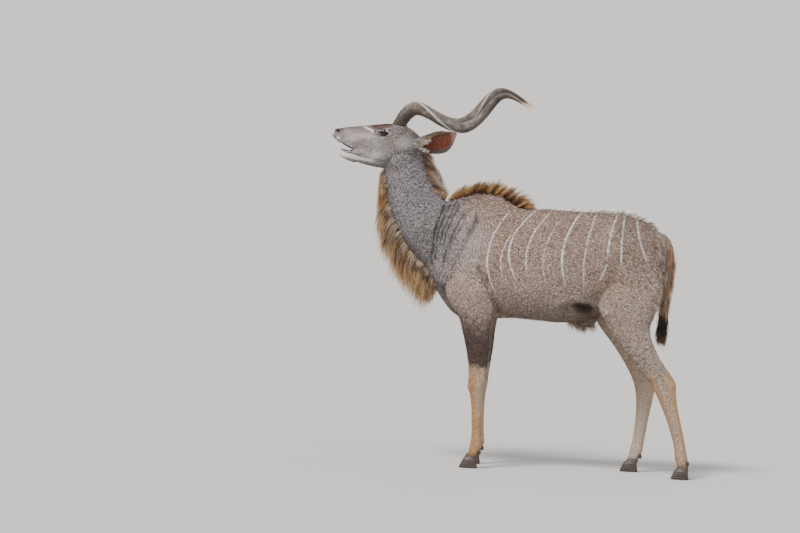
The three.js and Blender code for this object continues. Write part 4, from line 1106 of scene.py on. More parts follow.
# Long hair: colours at root, middle and tip, where the middle lies, share of streaks, their colour
LONG_HAIR = {
    "fringe": ("leg_pale", "hair_dark", "hair_tan", 0.5, 0.3, "leg_pale"),
    "fringe_tips": ("leg_tan", "hair_gold", "hair_gold", 0.35, 0.3, "hair_dark"),
    "nape": ("coat_warm", "leg_tan", "hair_root", 0.5, 0.36, "hair_dark"),
    "crest": ("hair_dark", "leg_tan", "hair_tan", 0.42, 0.34, "hair_dark"),
    "spine": ("pale", "white", "white", 0.4, 0.34, "belly"),
    "tail_hair": ("coat_warm", "leg_tan", "hair_root", 0.5, 0.35, "leg_dark"),
    "tail_tuft": ("hair_dark", "leg_dark", "hair_tan", 0.8, 0.5, "dark"),
    "pale_hair": ("belly", "leg_tan", "hair_root", 0.5, 0.3, "leg_dark"),
    "rump_hair": ("coat_warm", "hair_root", "hair_root", 0.5, 0.3, "leg_dark"),
    "lash": ("mouth", "mouth", "dark", 0.5, 0.0, "dark"),
    "ear_fringe": ("muzzle", "white", "white", 0.3, 0.3, "muzzle"),
    "ear_edge": ("belly", "leg_tan", "hair_root", 0.5, 0.3, "leg_dark"),
}


def long_hair_material(name):
    """Long hair that turns from one colour at the root to another at the tip, with odd dark strands."""
    *paints, mid_at, streaks, streak = LONG_HAIR[name]
    root, middle, tip, streak = (getattr(colours(), word) for word in (*paints, streak))
    f = Finish(f"kudu_{name}", Roughness=0.55, Specular_IOR_Level=0.35)
    along, tone = f.read("along"), f.read("tone")
    shifted = along + (tone - 0.5) * 0.5
    tint = mixed(shifted.ramp(mid_at - 0.3, mid_at), root, middle)
    tint = tint.under(shifted.ramp(mid_at + 0.05, mid_at + 0.4), rgb(tip))
    odd = (tone * 7.3).math("FRACT")
    if streaks:
        clump = tone.ramp(streaks + 0.14, streaks - 0.02) * along.ramp(0.12, 0.34) * along.ramp(0.95, 0.6)
        tint = tint.under(clump * 0.9, rgb(streak))
    return f.ends(tint.scaled(tone.ramp(0.0, 1.0, 0.75, 1.2) * odd.ramp(0.0, 1.0, 0.8, 1.2)))


def horn_material():
    """Horn: dark and wrinkled at the root, darkened by painted shade below, grey-brown above, ivory at the tip."""
    f = Finish("kudu_horn", Specular_IOR_Level=0.4)
    c = colours()
    along, ridge, round_ = f.read("along"), f.read("ridge"), f.read("round", "Vector")
    streaks = noise(round_.vector("MULTIPLY", (1.0, 1.0, 9.0)), 3.4, 4.0)
    fine = noise(f.place(), 240.0, 3.0)
    patches = noise(f.place(), 22.0, 4.0)
    tint = layered(mixed(along.ramp(0.02, 0.2), c.horn_base, c.horn_mid), (
        (streaks.ramp(0.42, 0.6, 0.0, 0.6), "horn_base"),
        (patches.ramp(0.5, 0.66, 0.0, 0.14) * along.ramp(0.0, 0.1), "pale"),
        # painted shade on the horn's downward-facing side
        (f.read("under").ramp(0.0, 0.75, 0.0, 0.85) * along.ramp(0.93, 0.8), "horn_base"),
        (ridge.ramp(0.8, 0.99, 0.0, 0.5) * along.ramp(0.02, 0.1), "pale"),
        (along.ramp(0.7, 0.84, 0.0, 0.7), "horn_base"),
        ((along + streaks * 0.06).ramp(0.965, 1.0), "horn_tip"),
        (fine.ramp(0.5, 0.68, 0.0, 0.3) * along.ramp(0.75, 0.6), "belly"),
    ))
    relief = streaks * 1.2 + fine * 0.5
    return f.ends(tint, relief, 0.4, 0.0016, along.ramp(0.0, 0.7, 0.62, 0.42))


def hoof_material():
    f = Finish("kudu_hoof", Specular_IOR_Level=0.4)
    c = colours()
    z = f.place().xyz()[2]
    grain = noise(f.place(), 120.0, 4.0)
    rings = (z * 620.0 + grain * 2.0).math("SINE")
    tint = mixed(grain.ramp(0.35, 0.65), c.hoof, c.dark).under(rings.ramp(0.4, 1.0, 0.0, 0.25), rgb(c.belly))
    return f.ends(tint, rings + grain, 0.3, 0.0008, grain.ramp(0.3, 0.7, 0.4, 0.62))


def eye_material():
    """A wet dark eye with a brown iris and a long level pupil."""
    f = Finish("kudu_eye", Roughness=0.14, Specular_IOR_Level=0.25, Coat_Weight=0.25, Coat_Roughness=0.03)
    x, _, z = f.place().xyz()
    x, z = x - float(EYE[0]), z - float(EYE[2])
    pupil = joined(x * 0.55, 0.0, z).vector("LENGTH").ramp(0.0035, 0.0045, 1.0, 0.0)
    white = joined(x, 0.0, z).vector("LENGTH").ramp(0.0148, 0.0165)
    tint = mixed(noise(f.place(), 600.0), colours().iris, (0.03, 0.014, 0.006))
    return f.ends(tint.under(pupil, (0.002, 0.002, 0.003, 1)).under(white, (0.035, 0.025, 0.02, 1)))


def ear_material():
    """The ear: thin reddish skin in the cup, grey in its lower lobe, and short hair outside, with painted shade under
    the cup's upper edge and deep in its root.
    """
    f = Finish("kudu_ear", Roughness=0.6, Specular_IOR_Level=0.3)
    c = colours()
    along, across = f.read("along"), f.read("across")
    soft, fleck = noise(f.place(), 60.0, 4.0), noise(f.place(), 300.0)
    wave = across + (soft - 0.5) * 0.5
    ribs = (across * 22.0 + soft * 6.0).math("SINE")
    shaded_red = (0.075, 0.022, 0.014)
    outside = mixed(soft.ramp(0.35, 0.65), c.coat, c.coat_warm).under(along.ramp(0.8, 1.0, 0.0, 0.5), rgb(c.dark))
    inside = layered(mixed(soft.ramp(0.3, 0.7, 0.0, 0.45), c.ear_inside, (0.09, 0.03, 0.02)), (
        # painted shade under the cup's upper edge
        (wave.ramp(-0.15, -0.5) * 0.85, shaded_red),
        (wave.ramp(0.5, 0.7) * along.ramp(0.15, 0.3) * 0.9, "face"),
        (wave.ramp(0.45, 0.7) * 0.85, "muzzle"),
        (along.ramp(0.8, 0.95) * 0.7, "coat_warm"),
        (ribs.ramp(0.5, 1.0, 0.0, 0.12), shaded_red),
        (across.math("ABSOLUTE").ramp(0.9, 0.99) * 0.8, "forehead"),
        # painted shade deep in the cup's root
        (along.ramp(0.2, 0.02) * 0.9, "dark"),
    ))
    tint = outside.under(f.read("cup"), inside).under(fleck.ramp(0.52, 0.7, 0.0, 0.3), rgb(c.pale))
    return f.ends(tint, f.relief(), 0.35, 0.001)


def tongue_material():
    f = Finish("kudu_tongue", Specular_IOR_Level=0.5)
    rough = noise(f.place(), 500.0, 3.0)
    tint = mixed(rough, (0.12, 0.125, 0.19), (0.2, 0.19, 0.24))
    return f.ends(tint, rough, 0.4, 0.0006, rough.ramp(0.3, 0.7, 0.3, 0.5))


def rim_material():
    """Dark bare skin of the lids."""
    f = Finish("kudu_rim", Roughness=0.5, Specular_IOR_Level=0.4)
    wrinkle = noise(f.place(), 320.0, 3.0)
    return f.ends(mixed(wrinkle, colours().mouth, (0.012, 0.009, 0.009)), wrinkle, 0.4, 0.0006)


def floor_material():
    f = Finish("studio_floor", Roughness=0.95, Specular_IOR_Level=0.05)
    tint = mixed(noise(f.place(), 1.5).ramp(0.35, 0.65, 0.0, 0.04), colours().floor, (0.7, 0.7, 0.7))
    return f.ends(tint)


# Geometry node trees


def named(tree, name, kind="FLOAT"):
    return node(tree, "GeometryNodeInputNamedAttribute", {"Name": name}, data_type=kind)[0]


def stored(geometry, name, value, kind="FLOAT", domain="POINT"):
    values = {"Geometry": geometry, "Name": name, "Value": value}
    return node(geometry.tree, "GeometryNodeStoreNamedAttribute", values, data_type=kind, domain=domain)[0]


def random_value(seed, low, high, number):
    values = {2: low, 3: high, "Seed": seed + float(number)}
    return node(seed.tree, "FunctionNodeRandomValue", values, data_type="FLOAT")[1]


BAKE_PATCH = 0.003


def in_bake_map(made):
    """Stores corners of tufts and strands in the bake map: the root's place plus a small patch."""
    tree = made.tree
    shift = joined(named(tree, "along"), named(tree, "around")).scaled(BAKE_PATCH)
    return stored(made, "OFBake", named(tree, "patch", "FLOAT_VECTOR").vector("ADD", shift), "FLOAT2", "CORNER")


def finished(made, given, *spare):
    """Ends a tree: real geometry without its spare attributes, smooth and with its material."""
    for name in spare:
        made = node(made.tree, "GeometryNodeRemoveAttribute", {"Geometry": made, "Name": name})[0]
    made = node(made.tree, "GeometryNodeSetShadeSmooth", {"Geometry": made})[0]
    made = node(made.tree, "GeometryNodeRealizeInstances", {"Geometry": made})[0]
    return node(made.tree, "GeometryNodeSetMaterial", {"Geometry": made, "Material": given["Material"]})[0]


@node_group("Short Fur", "Geometry", GEOMETRY, ("Geometry", GEOMETRY, None), ("Tuft", OBJECT, None),
            ("Zone", INTEGER, 0), ("Density", FLOAT, 20000.0), ("Length", FLOAT, 0.016), ("Width", FLOAT, 0.0025),
            ("Lift", FLOAT, 0.2), ("Seed", INTEGER, 1), ("Material", MATERIAL, None))
def fur_tree(tree, given):
    """Scatters tufts over a skin: each leans along the coat's lie and keeps its root's place."""
    seed, fur = given["Seed"], named(tree, "fur")
    in_zone = named(tree, "zone").math("COMPARE", given["Zone"], 0.5)
    values = {"Mesh": given["Geometry"], "Density": given["Density"] * named(tree, "cover") * in_zone, "Seed": seed}
    scatter = node(tree, "GeometryNodeDistributePointsOnFaces", values, distribute_method="RANDOM")
    normal = scatter["Normal"]
    values = {0: (-0.26, -0.26, -0.26), 1: (0.26, 0.26, 0.26), "Seed": seed}
    wander = node(tree, "FunctionNodeRandomValue", values, data_type="FLOAT_VECTOR")[0]
    raised = normal.scaled(given["Lift"] * random_value(seed, 0.4, 1.5, 2))
    way = named(tree, "lie", "FLOAT_VECTOR").vector("ADD", wander).vector("ADD", raised).vector("NORMALIZE")
    values = {"Primary Axis": way, "Secondary Axis": normal}
    turn = node(tree, "FunctionNodeAxesToRotation", values, primary_axis="Z", secondary_axis="X")[0]
    here = node(tree, "GeometryNodeInputPosition")[0]
    points = stored(scatter["Points"], "root", here, "FLOAT_VECTOR")
    points = stored(points, "tone", random_value(seed, 0.0, 1.0, 3))
    wide = given["Width"] * fur.math("POWER", 0.5) * random_value(seed, 0.7, 1.3, 5)
    scale = joined(wide * 0.4, wide, given["Length"] * fur * random_value(seed, 0.6, 1.25, 4))
    tuft = node(tree, "GeometryNodeObjectInfo", {"Object": given["Tuft"], "As Instance": True})["Geometry"]
    values = {"Points": points, "Instance": tuft, "Rotation": turn, "Scale": scale}
    copies = node(tree, "GeometryNodeInstanceOnPoints", values)[0]
    made = in_bake_map(node(tree, "GeometryNodeRealizeInstances", {"Geometry": copies})[0])
    return finished(made, given, "patch", "around", "lie", "cover", "fur", "zone")


def swept(tree, given, thick):
    """A closed tube along each line of a mesh, which knows its place around."""
    curve = node(tree, "GeometryNodeMeshToCurve", {"Mesh": given["Geometry"]})[0]
    profile = node(tree, "GeometryNodeCurvePrimitiveCircle", {"Resolution": given["Sides"], "Radius": 1.0})[0]
    profile = stored(profile, "around", node(tree, "GeometryNodeSplineParameter")["Factor"])
    values = {"Curve": curve, "Profile Curve": profile, "Scale": thick, "Fill Caps": True}
    return node(tree, "GeometryNodeCurveToMesh", values)[0]


@node_group("Long Hair", "Geometry", GEOMETRY, ("Geometry", GEOMETRY, None), ("Sides", INTEGER, 3),
            ("Half Thickness", FLOAT, 0.001), ("Material", MATERIAL, None))
def strand_tree(tree, given):
    """Turns lines into tapered solid strands."""
    made = in_bake_map(swept(tree, given, given["Half Thickness"] * named(tree, "thick")))
    return finished(made, given, "patch", "around", "thick")


def grown(name, mesh, tree, values, finish):
    """Runs a geometry node tree on a mesh and keeps its result as a plain piece."""
    base = place(name + "_base", mesh)
    modifier = base.modifiers.new("Grow", "NODES")
    modifier.node_group = tree
    for item in tree.interface.items_tree:
        if item.in_out == "INPUT" and item.name in values:
            modifier[item.identifier] = values[item.name]
    result = baked(base, name)
    return place(name, result, finish)


# The coat on the skin

# Where each form lies on the coat's bake map: left, bottom, width along, height around
CHARTS = {
    "torso": (0.01, 0.01, 0.5, 0.66), "neck": (0.53, 0.01, 0.27, 0.36), "skull": (0.53, 0.39, 0.25, 0.28),
    "jaw": (0.82, 0.39, 0.16, 0.26), "tail": (0.82, 0.01, 0.16, 0.1), "foreleg_left": (0.01, 0.69, 0.46, 0.13),
    "foreleg_right": (0.01, 0.85, 0.46, 0.13), "hindleg_left": (0.5, 0.69, 0.48, 0.13),
    "hindleg_right": (0.5, 0.85, 0.48, 0.13), "ear_left": (0.82, 0.14, 0.16, 0.1),
    "ear_right": (0.82, 0.26, 0.16, 0.1),
}
# The coat's piece that each form's hair belongs to, by its place in COAT_PIECES
ZONES = {"torso": 0, "neck": 1, "skull": 2, "jaw": 2, "tail": 0}
LEG_ZONE, HAUNCH_ZONE, HAUNCH_FROM = 3, 4, 0.22


def on_chart(charts, s, turn):
    """Places on the bake map for shares along and around a form, or one form each."""
    left, low, wide, high = charts.T
    return vectors(left + s * wide, low + turn * high, 0)


class BodyMap:
    """Finds for any point the form that it lies on, and its place along and around it."""

    def __init__(self, forms):
        self.names, self.grids = list(forms), list(forms.values())
        self.along = [unit(np.gradient(grid.mean(1), axis=0)) for grid in self.grids]
        self.owner = np.repeat(np.arange(len(self.grids)), [grid[..., 0].size for grid in self.grids])
        self.row, self.column = np.hstack([np.indices(grid.shape[:2]).reshape(2, -1) for grid in self.grids])
        places = np.vstack([grid.reshape(-1, 3) for grid in self.grids])
        self.tree = KDTree(len(places))
        for i, point in enumerate(places):
            self.tree.insert(point, i)
        self.tree.balance()

    def find(self, points):
        """Owner, share along, share around and direction along for each point."""
        nearest = np.array([self.tree.find(p)[1] for p in points])
        owner, row, column = self.owner[nearest], self.row[nearest], self.column[nearest]
        s, turn, way = np.zeros(len(points)), np.zeros(len(points)), np.zeros((len(points), 3))
        for k, grid in enumerate(self.grids):
            mine = owner == k
            if not mine.any():
                continue
            rows, columns = grid.shape[:2]
            r, c = row[mine], column[mine]
            step = np.gradient(grid, axis=0)[r, c]
            offset = points[mine] - grid[r, c]
            s[mine] = np.clip((r + (offset * step).sum(1) / np.maximum((step**2).sum(1), 1e-8)) / (rows - 1), 0, 1)
            round_ = (np.roll(grid, -1, 1) - np.roll(grid, 1, 1))[r, c] / 2
            turn[mine] = (c + (offset * round_).sum(1) / np.maximum((round_**2).sum(1), 1e-8)) / columns % 1
            way[mine] = self.along[k][r]
        return owner, s, turn, way

    def patch(self, owner, s, turn):
        """Places on the bake map."""
        return on_chart(np.array([CHARTS[name] for name in self.names])[owner], s, turn)


def limb_places(points):
    """Front to back and inner to outer across each leg, from -1 to 1, and how much a point is leg."""
    found = np.zeros((len(points), 3))
    for table, low, high in ((FORELEG, -0.45, 0.08), (HINDLEG, 0.25, 1.0)):
        for _, side in SIDES:
            rows, columns = np.array(sorted(table)), (COLUMN[side], 3, 4, 5)
            x, deep, wide, y = (np.interp(points[:, 2] / MM, rows[:, 0], rows[:, k]) * MM for k in columns)
            mine = (points[:, 1] * side > 0) & (points[:, 0] > low) & (points[:, 0] < high)
            near = np.abs(points[:, 0] - x) < deep * 1.35
            front = np.clip((points[:, 0] - x) / deep, -1.2, 1.2)
            outer = np.clip((points[:, 1] * side - y) / wide, -1.2, 1.2)
            found[mine & near] = vectors(front, outer, smoothstep(0.86, 0.74, points[:, 2]))[mine & near]
    return found


def lie_of_coat(points, names, way):
    """The way the hair lies: back over head and trunk, down the neck and the legs."""
    x, y, z = points[:, 0], np.abs(points[:, 1]), points[:, 2]
    drop = smoothstep(0.0, 0.12, y) * smoothstep(1.36, 1.1, z)
    haunch = smoothstep(0.42, 0.56, x) * smoothstep(0.8, 0.92, z)
    shoulder = smoothstep(0.0, -0.14, x) * smoothstep(0.8, 0.9, z) * (x > -0.4)
    way = way.copy()
    for mine, slope in (
        (np.isin(names, ("skull", "jaw")), -0.12),
        (names == "torso", -0.12 - 0.25 * drop),
        ((haunch > 0.02) & (names != "tail"), -0.12 - 0.85 * haunch * (0.35 + 0.65 * drop)),
        ((shoulder > 0.02) & (names != "neck"), -0.2 - 1.7 * shoulder * drop),
        (names == "neck", -2.0),
    ):
        way[mine] = unit(vectors(1, 0, slope + 0 * x))[mine]
    return unit(way)


def across_normals(way, normals):
    """Directions laid flat on the surface."""
    return unit(way - normals * (way * normals).sum(1, keepdims=True))


def dress_skin(mesh, body_map):
    """Gives the skin what the coat and the materials read: lie, length, cover, limb and patch."""
    points = numbers(mesh.vertices, "co", 3).astype(float)
    normals = numbers(mesh.vertices, "normal", 3).astype(float)
    edges = whole_numbers(mesh.edges, "vertices", 2)
    owner, s, turn, way = body_map.find(points)
    names = np.array(body_map.names)[owner]
    head, trunk = np.isin(names, ("skull", "jaw")), names == "torso"
    way = relaxed(lie_of_coat(points, names, way), edges, 14, 0.6)
    way = across_normals(way, normals)
    length = np.select([head, names == "neck", names == "tail", trunk], [0.36, 0.6, 1.0, 1.0], 0.85)
    low = smoothstep(0.7, 0.3, points[:, 2])
    length = length * (1 - 0.45 * low) * np.where(head, smoothstep(-0.95, -0.62, points[:, 0]) * 0.7 + 0.5, 1)
    haunch = smoothstep(0.45, 0.6, points[:, 0]) * smoothstep(0.85, 1.0, points[:, 2])
    length = length + 0.5 * smoothstep(0.8, 0.76, points[:, 2]) * trunk + 0.35 * haunch * (names != "tail")
    fur = relaxed(length[:, None], edges, 10, 0.6)[:, 0]
    # eyes, nose, mouth and hooves stay bare
    folded = vectors(points[:, 0], np.abs(points[:, 1]), points[:, 2])
    bare = points[:, 2] < 0.047
    for centre, reach in ((EYE, (0.026, 0.035, 0.017)), ((-0.915, 0, 1.635), (0.034, 0.04, 0.022))):
        bare |= np.linalg.norm((folded - centre) / reach, axis=1) < 1
    bare |= (np.abs(points[:, 1]) < 0.03) & (points[:, 0] < -0.8) & (points[:, 2] > 1.53) & (points[:, 2] < 1.6)
    cover = np.where(bare, 0, 1)
    keep(mesh, lie=way, fur=fur, cover=cover, limb=limb_places(points))
    corner, first = face_corners(mesh)
    place_s, place_turn = s[corner], turn[corner]
    other = owner[corner] != owner[first]
    place_s[other], place_turn[other] = s[first][other], turn[first][other]
    place_turn = place_turn - np.round(place_turn - turn[first])
    keep(mesh, "CORNER", patch=body_map.patch(owner[first], place_s, place_turn))
    zone = np.array([ZONES.get(name, LEG_ZONE) for name in body_map.names])[owner]
    zone[(zone == 0) & (points[:, 0] > HAUNCH_FROM)] = HAUNCH_ZONE
    keep(mesh, zone=zone)


def tuft_object():
    """One tuft: a slim closed form one unit long, pointed at its end."""
    points = [(0.25, 0.5, 0.0), (0.25, -0.5, 0.0), (-0.45, 0.0, 0.0), (0.0, 0.0, 1.0)]
    mesh = array_mesh("tuft", np.array(points), [(0, 1, 3), (1, 2, 3), (2, 0, 3), (0, 2, 1)])
    keep(mesh, along=[0, 0, 0, 1], around=[0, 0.5, 1, 0.5])
    return bpy.data.objects.new("tuft", mesh)


# Long hair


def line_mesh(name, lines, **values):
    """Open lines of points (n, k, 3) as edges, with named values at each point."""
    count, steps = lines.shape[:2]
    mesh = bpy.data.meshes.new(name)
    mesh.vertices.add(count * steps)
    mesh.vertices.foreach_set("co", lines.astype(np.float32).ravel())
    start = (np.arange(count)[:, None] * steps + np.arange(steps - 1)).ravel()
    mesh.edges.add(len(start))
    mesh.edges.foreach_set("vertices", np.stack([start, start + 1], -1).astype(np.int32).ravel())
    keep(mesh, **values)
    return mesh


def hair_piece(name, lines, thick, patch, tone, finish, **shape):
    """Strands through lines of points: lines (n, k, 3), thickness (n, k), one patch and tone each."""
    count, steps = lines.shape[:2]
    mesh = line_mesh(name, lines, thick=thick.ravel(), along=np.tile(np.linspace(0, 1, steps), count),
                     tone=np.repeat(tone, steps), patch=np.repeat(patch, steps, 0))
    values = {"Half Thickness": sizes().strand, "Material": finish, **shape}
    return grown(name, mesh, strand_tree(), values, finish)


def locks(random, roots, reach, per_lock, spread, gather_, wave, bend=(0, 0, 0), short=0.5, steps=5):
    """Strands of many locks. Each lock's strands start round its root and draw together to its tip."""
    count = len(roots)
    lock = np.repeat(np.arange(count), per_lock)
    total = len(lock)
    start = roots[lock] + random.normal(0, spread, (total, 3)) * [1, 1, 0.6]
    long_ = np.linalg.norm(reach, axis=1)[lock][:, None]
    end = roots[lock] + reach[lock] * random.uniform(short, 1.06, (total, 1))
    end = end + (start - roots[lock]) * gather_ + random.normal(0, 0.035, (total, 3)) * long_
    sway = random.normal(0, wave, (count, 3))[lock] * long_ + random.normal(0, wave * 0.5, (total, 3)) * long_
    sway = sway + np.array(bend) * long_ * random.uniform(0.5, 1.4, (total, 1))
    t = np.linspace(0, 1, steps)[None, :, None]
    lines = start[:, None] * (1 - t) + end[:, None] * t + sway[:, None] * 4 * t * (1 - t)
    sag = 0.08 * long_[:, None] * t * t * np.array([0, 0, -1])
    tone = np.clip(0.5 + random.normal(0, 0.2, count)[lock] + random.normal(0, 0.18, total), 0, 1)
    thick = np.linspace(1, 0.16, steps)[None] ** 0.8 * random.uniform(0.6, 1.25, (total, 1))
    return lines + sag, thick, tone


# Lines of roots x, z along the body and the reach of the hair from each
HAIR_LINES = {
    "throat": (
        (-662, 1452, -8, -60), (-648, 1375, -38, -80), (-628, 1266, -62, -120), (-598, 1185, -64, -152),
        (-558, 1112, -56, -170), (-505, 1045, -46, -190), (-452, 985, -34, -192), (-412, 940, -24, -164),
        (-388, 893, -2, -90),
    ),
    "nape": (
        (-472, 1556, 56, -26), (-457, 1511, 70, -48), (-443, 1474, 82, -60), (-428, 1437, 88, -58),
        (-410, 1392, 84, -34), (-384, 1358, 52, 2), (-362, 1340, 24, 8),
    ),
    "crest": (
        (-366, 1340, 34, 40), (-300, 1336, 26, 62), (-250, 1346, 24, 70), (-200, 1362, 26, 76), (-147, 1372, 34, 78),
        (-86, 1362, 52, 76), (-35, 1332, 66, 70), (16, 1306, 76, 52), (76, 1299, 54, 16),
    ),
    "spine": (
        (70, 1296, 38, 12), (130, 1294, 38, 16), (230, 1296, 38, 18), (340, 1300, 38, 20), (430, 1302, 40, 32),
        (520, 1298, 44, 40), (600, 1284, 46, 34), (670, 1262, 40, 18), (710, 1240, 34, 4),
    ),
}


def line_locks(random, line, count, width):
    """Roots and reaches of locks along a line on the middle of the body, spread sideways."""
    t = (np.arange(count) + random.uniform(0, 1, count)) / count
    x, z, reach_x, reach_z = (curve_at(np.array(HAIR_LINES[line], float), t) * MM).T
    side = np.clip(random.normal(0, 0.5, count), -1, 1)
    way = vectors(reach_x, side * 0.22 * np.hypot(reach_x, reach_z), reach_z)
    way *= random.uniform(0.75, 1.08, (count, 1)) * (1 - 0.25 * np.abs(side[:, None]))
    return vectors(x, side * width, z), way


class Ground:
    """The dressed skin as a surface that roots are set on."""

    def __init__(self, skin):
        mesh = skin.data
        self.points = numbers(mesh.vertices, "co", 3).astype(float)
        mesh.calc_loop_triangles()
        faces = whole_numbers(mesh.loop_triangles, "vertices", 3)
        self.surface = BVHTree.FromPolygons(self.points.tolist(), faces.tolist())
        self.map = BodyMap(body_forms())

    def settle(self, roots):
        """Roots moved to the nearest place on the skin."""
        return np.array([self.surface.find_nearest(root)[0] for root in roots])

    def patch(self, roots):
        return self.map.patch(*self.map.find(roots)[:3])


@node_group("Kudu Horn", "Geometry", GEOMETRY, ("Geometry", GEOMETRY, None), ("Sides", INTEGER, 48),
            ("Keel", FLOAT, 0.22), ("Wrinkles", FLOAT, 44.0), ("Wrinkle Depth", FLOAT, 0.0017),
            ("Material", MATERIAL, None))
def horn_tree(tree, given):
    """Sweeps a horn along its line, with a keel on the outer side of the spiral and a wrinkled root."""
    made = swept(tree, given, named(tree, "thick"))
    outward = node(tree, "GeometryNodeInputNormal")[0]
    facing = outward.vector("DOT_PRODUCT", named(tree, "radial", "FLOAT_VECTOR"))
    made = stored(made, "ridge", facing.math("MAXIMUM", 0.0).math("POWER", 9.0))
    # how far each point faces down, for the horn's painted shade
    made = stored(made, "under", outward.xyz()[2] * -1.0)
    along, thick = named(tree, "along"), named(tree, "thick")
    turn = named(tree, "around") * 6.2832
    made = stored(made, "round", joined(turn.math("COSINE"), turn.math("SINE"), along * 0.6), "FLOAT_VECTOR")
    rough = noise(node(tree, "GeometryNodeInputPosition")[0], 34.0, 3.0)
    keel = named(tree, "ridge") * given["Keel"] * thick * along.ramp(0.5, 1.0, 1.0, 0.0)
    phase = along * given["Wrinkles"] * 6.2832 + rough * 9.0
    wave = phase.math("SINE") * given["Wrinkle Depth"] * along.ramp(0.12, 0.5, 1.0, 0.1)
    lump = (rough - 0.5) * 0.004 * along.ramp(0.1, 0.9, 1.0, 0.1)
    shift = outward.scaled(keel + wave + lump)
    made = node(tree, "GeometryNodeSetPosition", {"Geometry": made, "Offset": shift})[0]
    return finished(made, given)


def wrap_uv(mesh, u, v):
    """The bake map of a form with u along it and v, from 0 to 1, around it."""
    corner, first = face_corners(mesh)
    around = v[corner] - np.round(v[corner] - v[first])
    keep(mesh, "CORNER", OFBake=np.column_stack([np.clip(u[corner], 0, 1), (around + 0.1) / 1.2]))


def eye_pieces(word, side, eye_finish, lid_finish):
    """An eyeball and the lids round it. Gives the line that the upper lashes grow from."""
    centre, radius = EYE * [1, side, 1], sizes().eye
    points, faces = closed_loft(ball(centre / MM, [radius / MM] * 3, 0, 48, 64))
    eyeball = array_mesh(f"eye_{word}_ball", points, faces)
    hand_over(place(f"eye_{word}_ball", eyeball, eye_finish), "eye", f"eye_{word}")
    a = np.linspace(0, 2 * np.pi, 72, endpoint=False)
    along = LID_HALF_LENGTH * np.sign(np.cos(a)) * np.abs(np.cos(a)) ** 1.15
    up = LID_HALF_HEIGHT * np.sign(np.sin(a)) * np.abs(np.sin(a)) ** 1.15
    up = np.where(up > 0, up * 0.72, up)
    c, s = math.cos(LID_TILT), math.sin(LID_TILT)
    x, z = along * c + up * s, -along * s + up * c
    y = np.sqrt(np.maximum(radius**2 - x**2 - z**2, 1e-6)) - 0.0004
    line = centre + vectors(x, side * y, z)
    thick = np.where(np.sin(a) > 0, 0.0028, 0.0021)
    around = np.concatenate([np.arange(len(a)), [0, 1]])
    lids = hair_piece(f"eye_{word}_lids", line[None, around], thick[None, around], np.zeros((1, 3)), np.zeros(1),
                      lid_finish, **{"Half Thickness": 1.0, "Sides": 12})
    lids.data.attributes.remove(lids.data.attributes["OFBake"])
    hand_over(lids, "coat")
    return line[np.sin(a) > 0.15]


def ear_shell(word, side):
    """The ear as a thin cup, whose inner and outer walls meet in a rounded rim."""
    root, length, along, face, wide = ear_frame(side)
    t, half, deep, degrees, sag = curve_through(EAR_STATIONS, 70).T
    t = np.clip(t, -0.06, 1)
    share_ = np.linspace(-1, 1, 30)
    middle = root + along * (length * t)[:, None, None] + wide * (sag * MM)[:, None, None]
    rings, values = [], []
    for inset, order in ((0.0, slice(None)), (1.0, slice(None, None, -1))):
        s = share_[order]
        wall = inset * sizes().ear_wall * (1 - 0.5 * np.clip(t, 0, 1)) / MM
        spread = np.radians(degrees)[:, None] * s[None] * (1 - 0.03 * inset)
        wave = 1 + 0.05 * np.sin(5 * t[:, None] + 2 * s[None]) * np.abs(s[None]) ** 2
        out_ = -np.cos(spread) * (deep - wall)[:, None] * wave
        over = np.sin(spread) * (half - wall)[:, None] * wave
        rings.append(middle + (face * out_[..., None] + wide * over[..., None]) * MM)
        values.append(vectors(t[:, None], s[None], inset))
    grid, values = np.concatenate(rings, 1), np.concatenate(values, 1)
    mesh = array_mesh(f"ear_{word}_shell", *closed_loft(grid))
    values = np.vstack([values.reshape(-1, 3), values[0].mean(0), values[-1].mean(0)])
    keep(mesh, **dict(zip(("along", "across", "cup"), values.T)))
    rows, columns = np.indices(grid.shape[:2]).reshape(2, -1)
    wrap_uv(mesh, np.append(rows / (len(t) - 1), [0, 1]), np.append(columns / grid.shape[1], [0, 0]))
    return mesh, np.tile(along, (len(values), 1)), values[:, 2]


TOE_LAYERS = ((0, 0.5, 0.46, 0.9, 17), (3, 0.52, 0.48, 0.97, 17), (9, 0.52, 0.48, 1.0, 17), (26, 0.43, 0.44, 1.0, 17),
              (40, 0.36, 0.42, 0.95, 16), (50, 0.27, 0.36, 0.8, 14), (58, 0.16, 0.26, 0.6, 12))
TOE_LENGTH, TOE_WIDTH = 88, 29


def toe_grid(foot_x, foot_y, way):
    z, front, rear, wide, off = curve_through(TOE_LAYERS, 44).T
    z, y, x = np.maximum(z, 0), foot_y + way * off, foot_x - 10
    a, b = (vectors(x + reach * TOE_LENGTH, y, z) * MM for reach in (-front, rear))
    ridge = 1 + 0.012 * np.sin(z * 2 * np.pi * sizes().hoof_rings / 46)
    half = wide * TOE_WIDTH / 2 * MM * ridge
    one = np.ones(len(z))
    grid = cross_rings(a, b, half, one * 0.6, one * 1.7, one * 2.2, 40)
    # the inner wall of each toe is flatter than its outer one
    inner = (grid[..., 1] - y[:, None] * MM) * -way > 0
    grid[..., 1] = np.where(inner, y[:, None] * MM + (grid[..., 1] - y[:, None] * MM) * 0.88, grid[..., 1])
    return grid


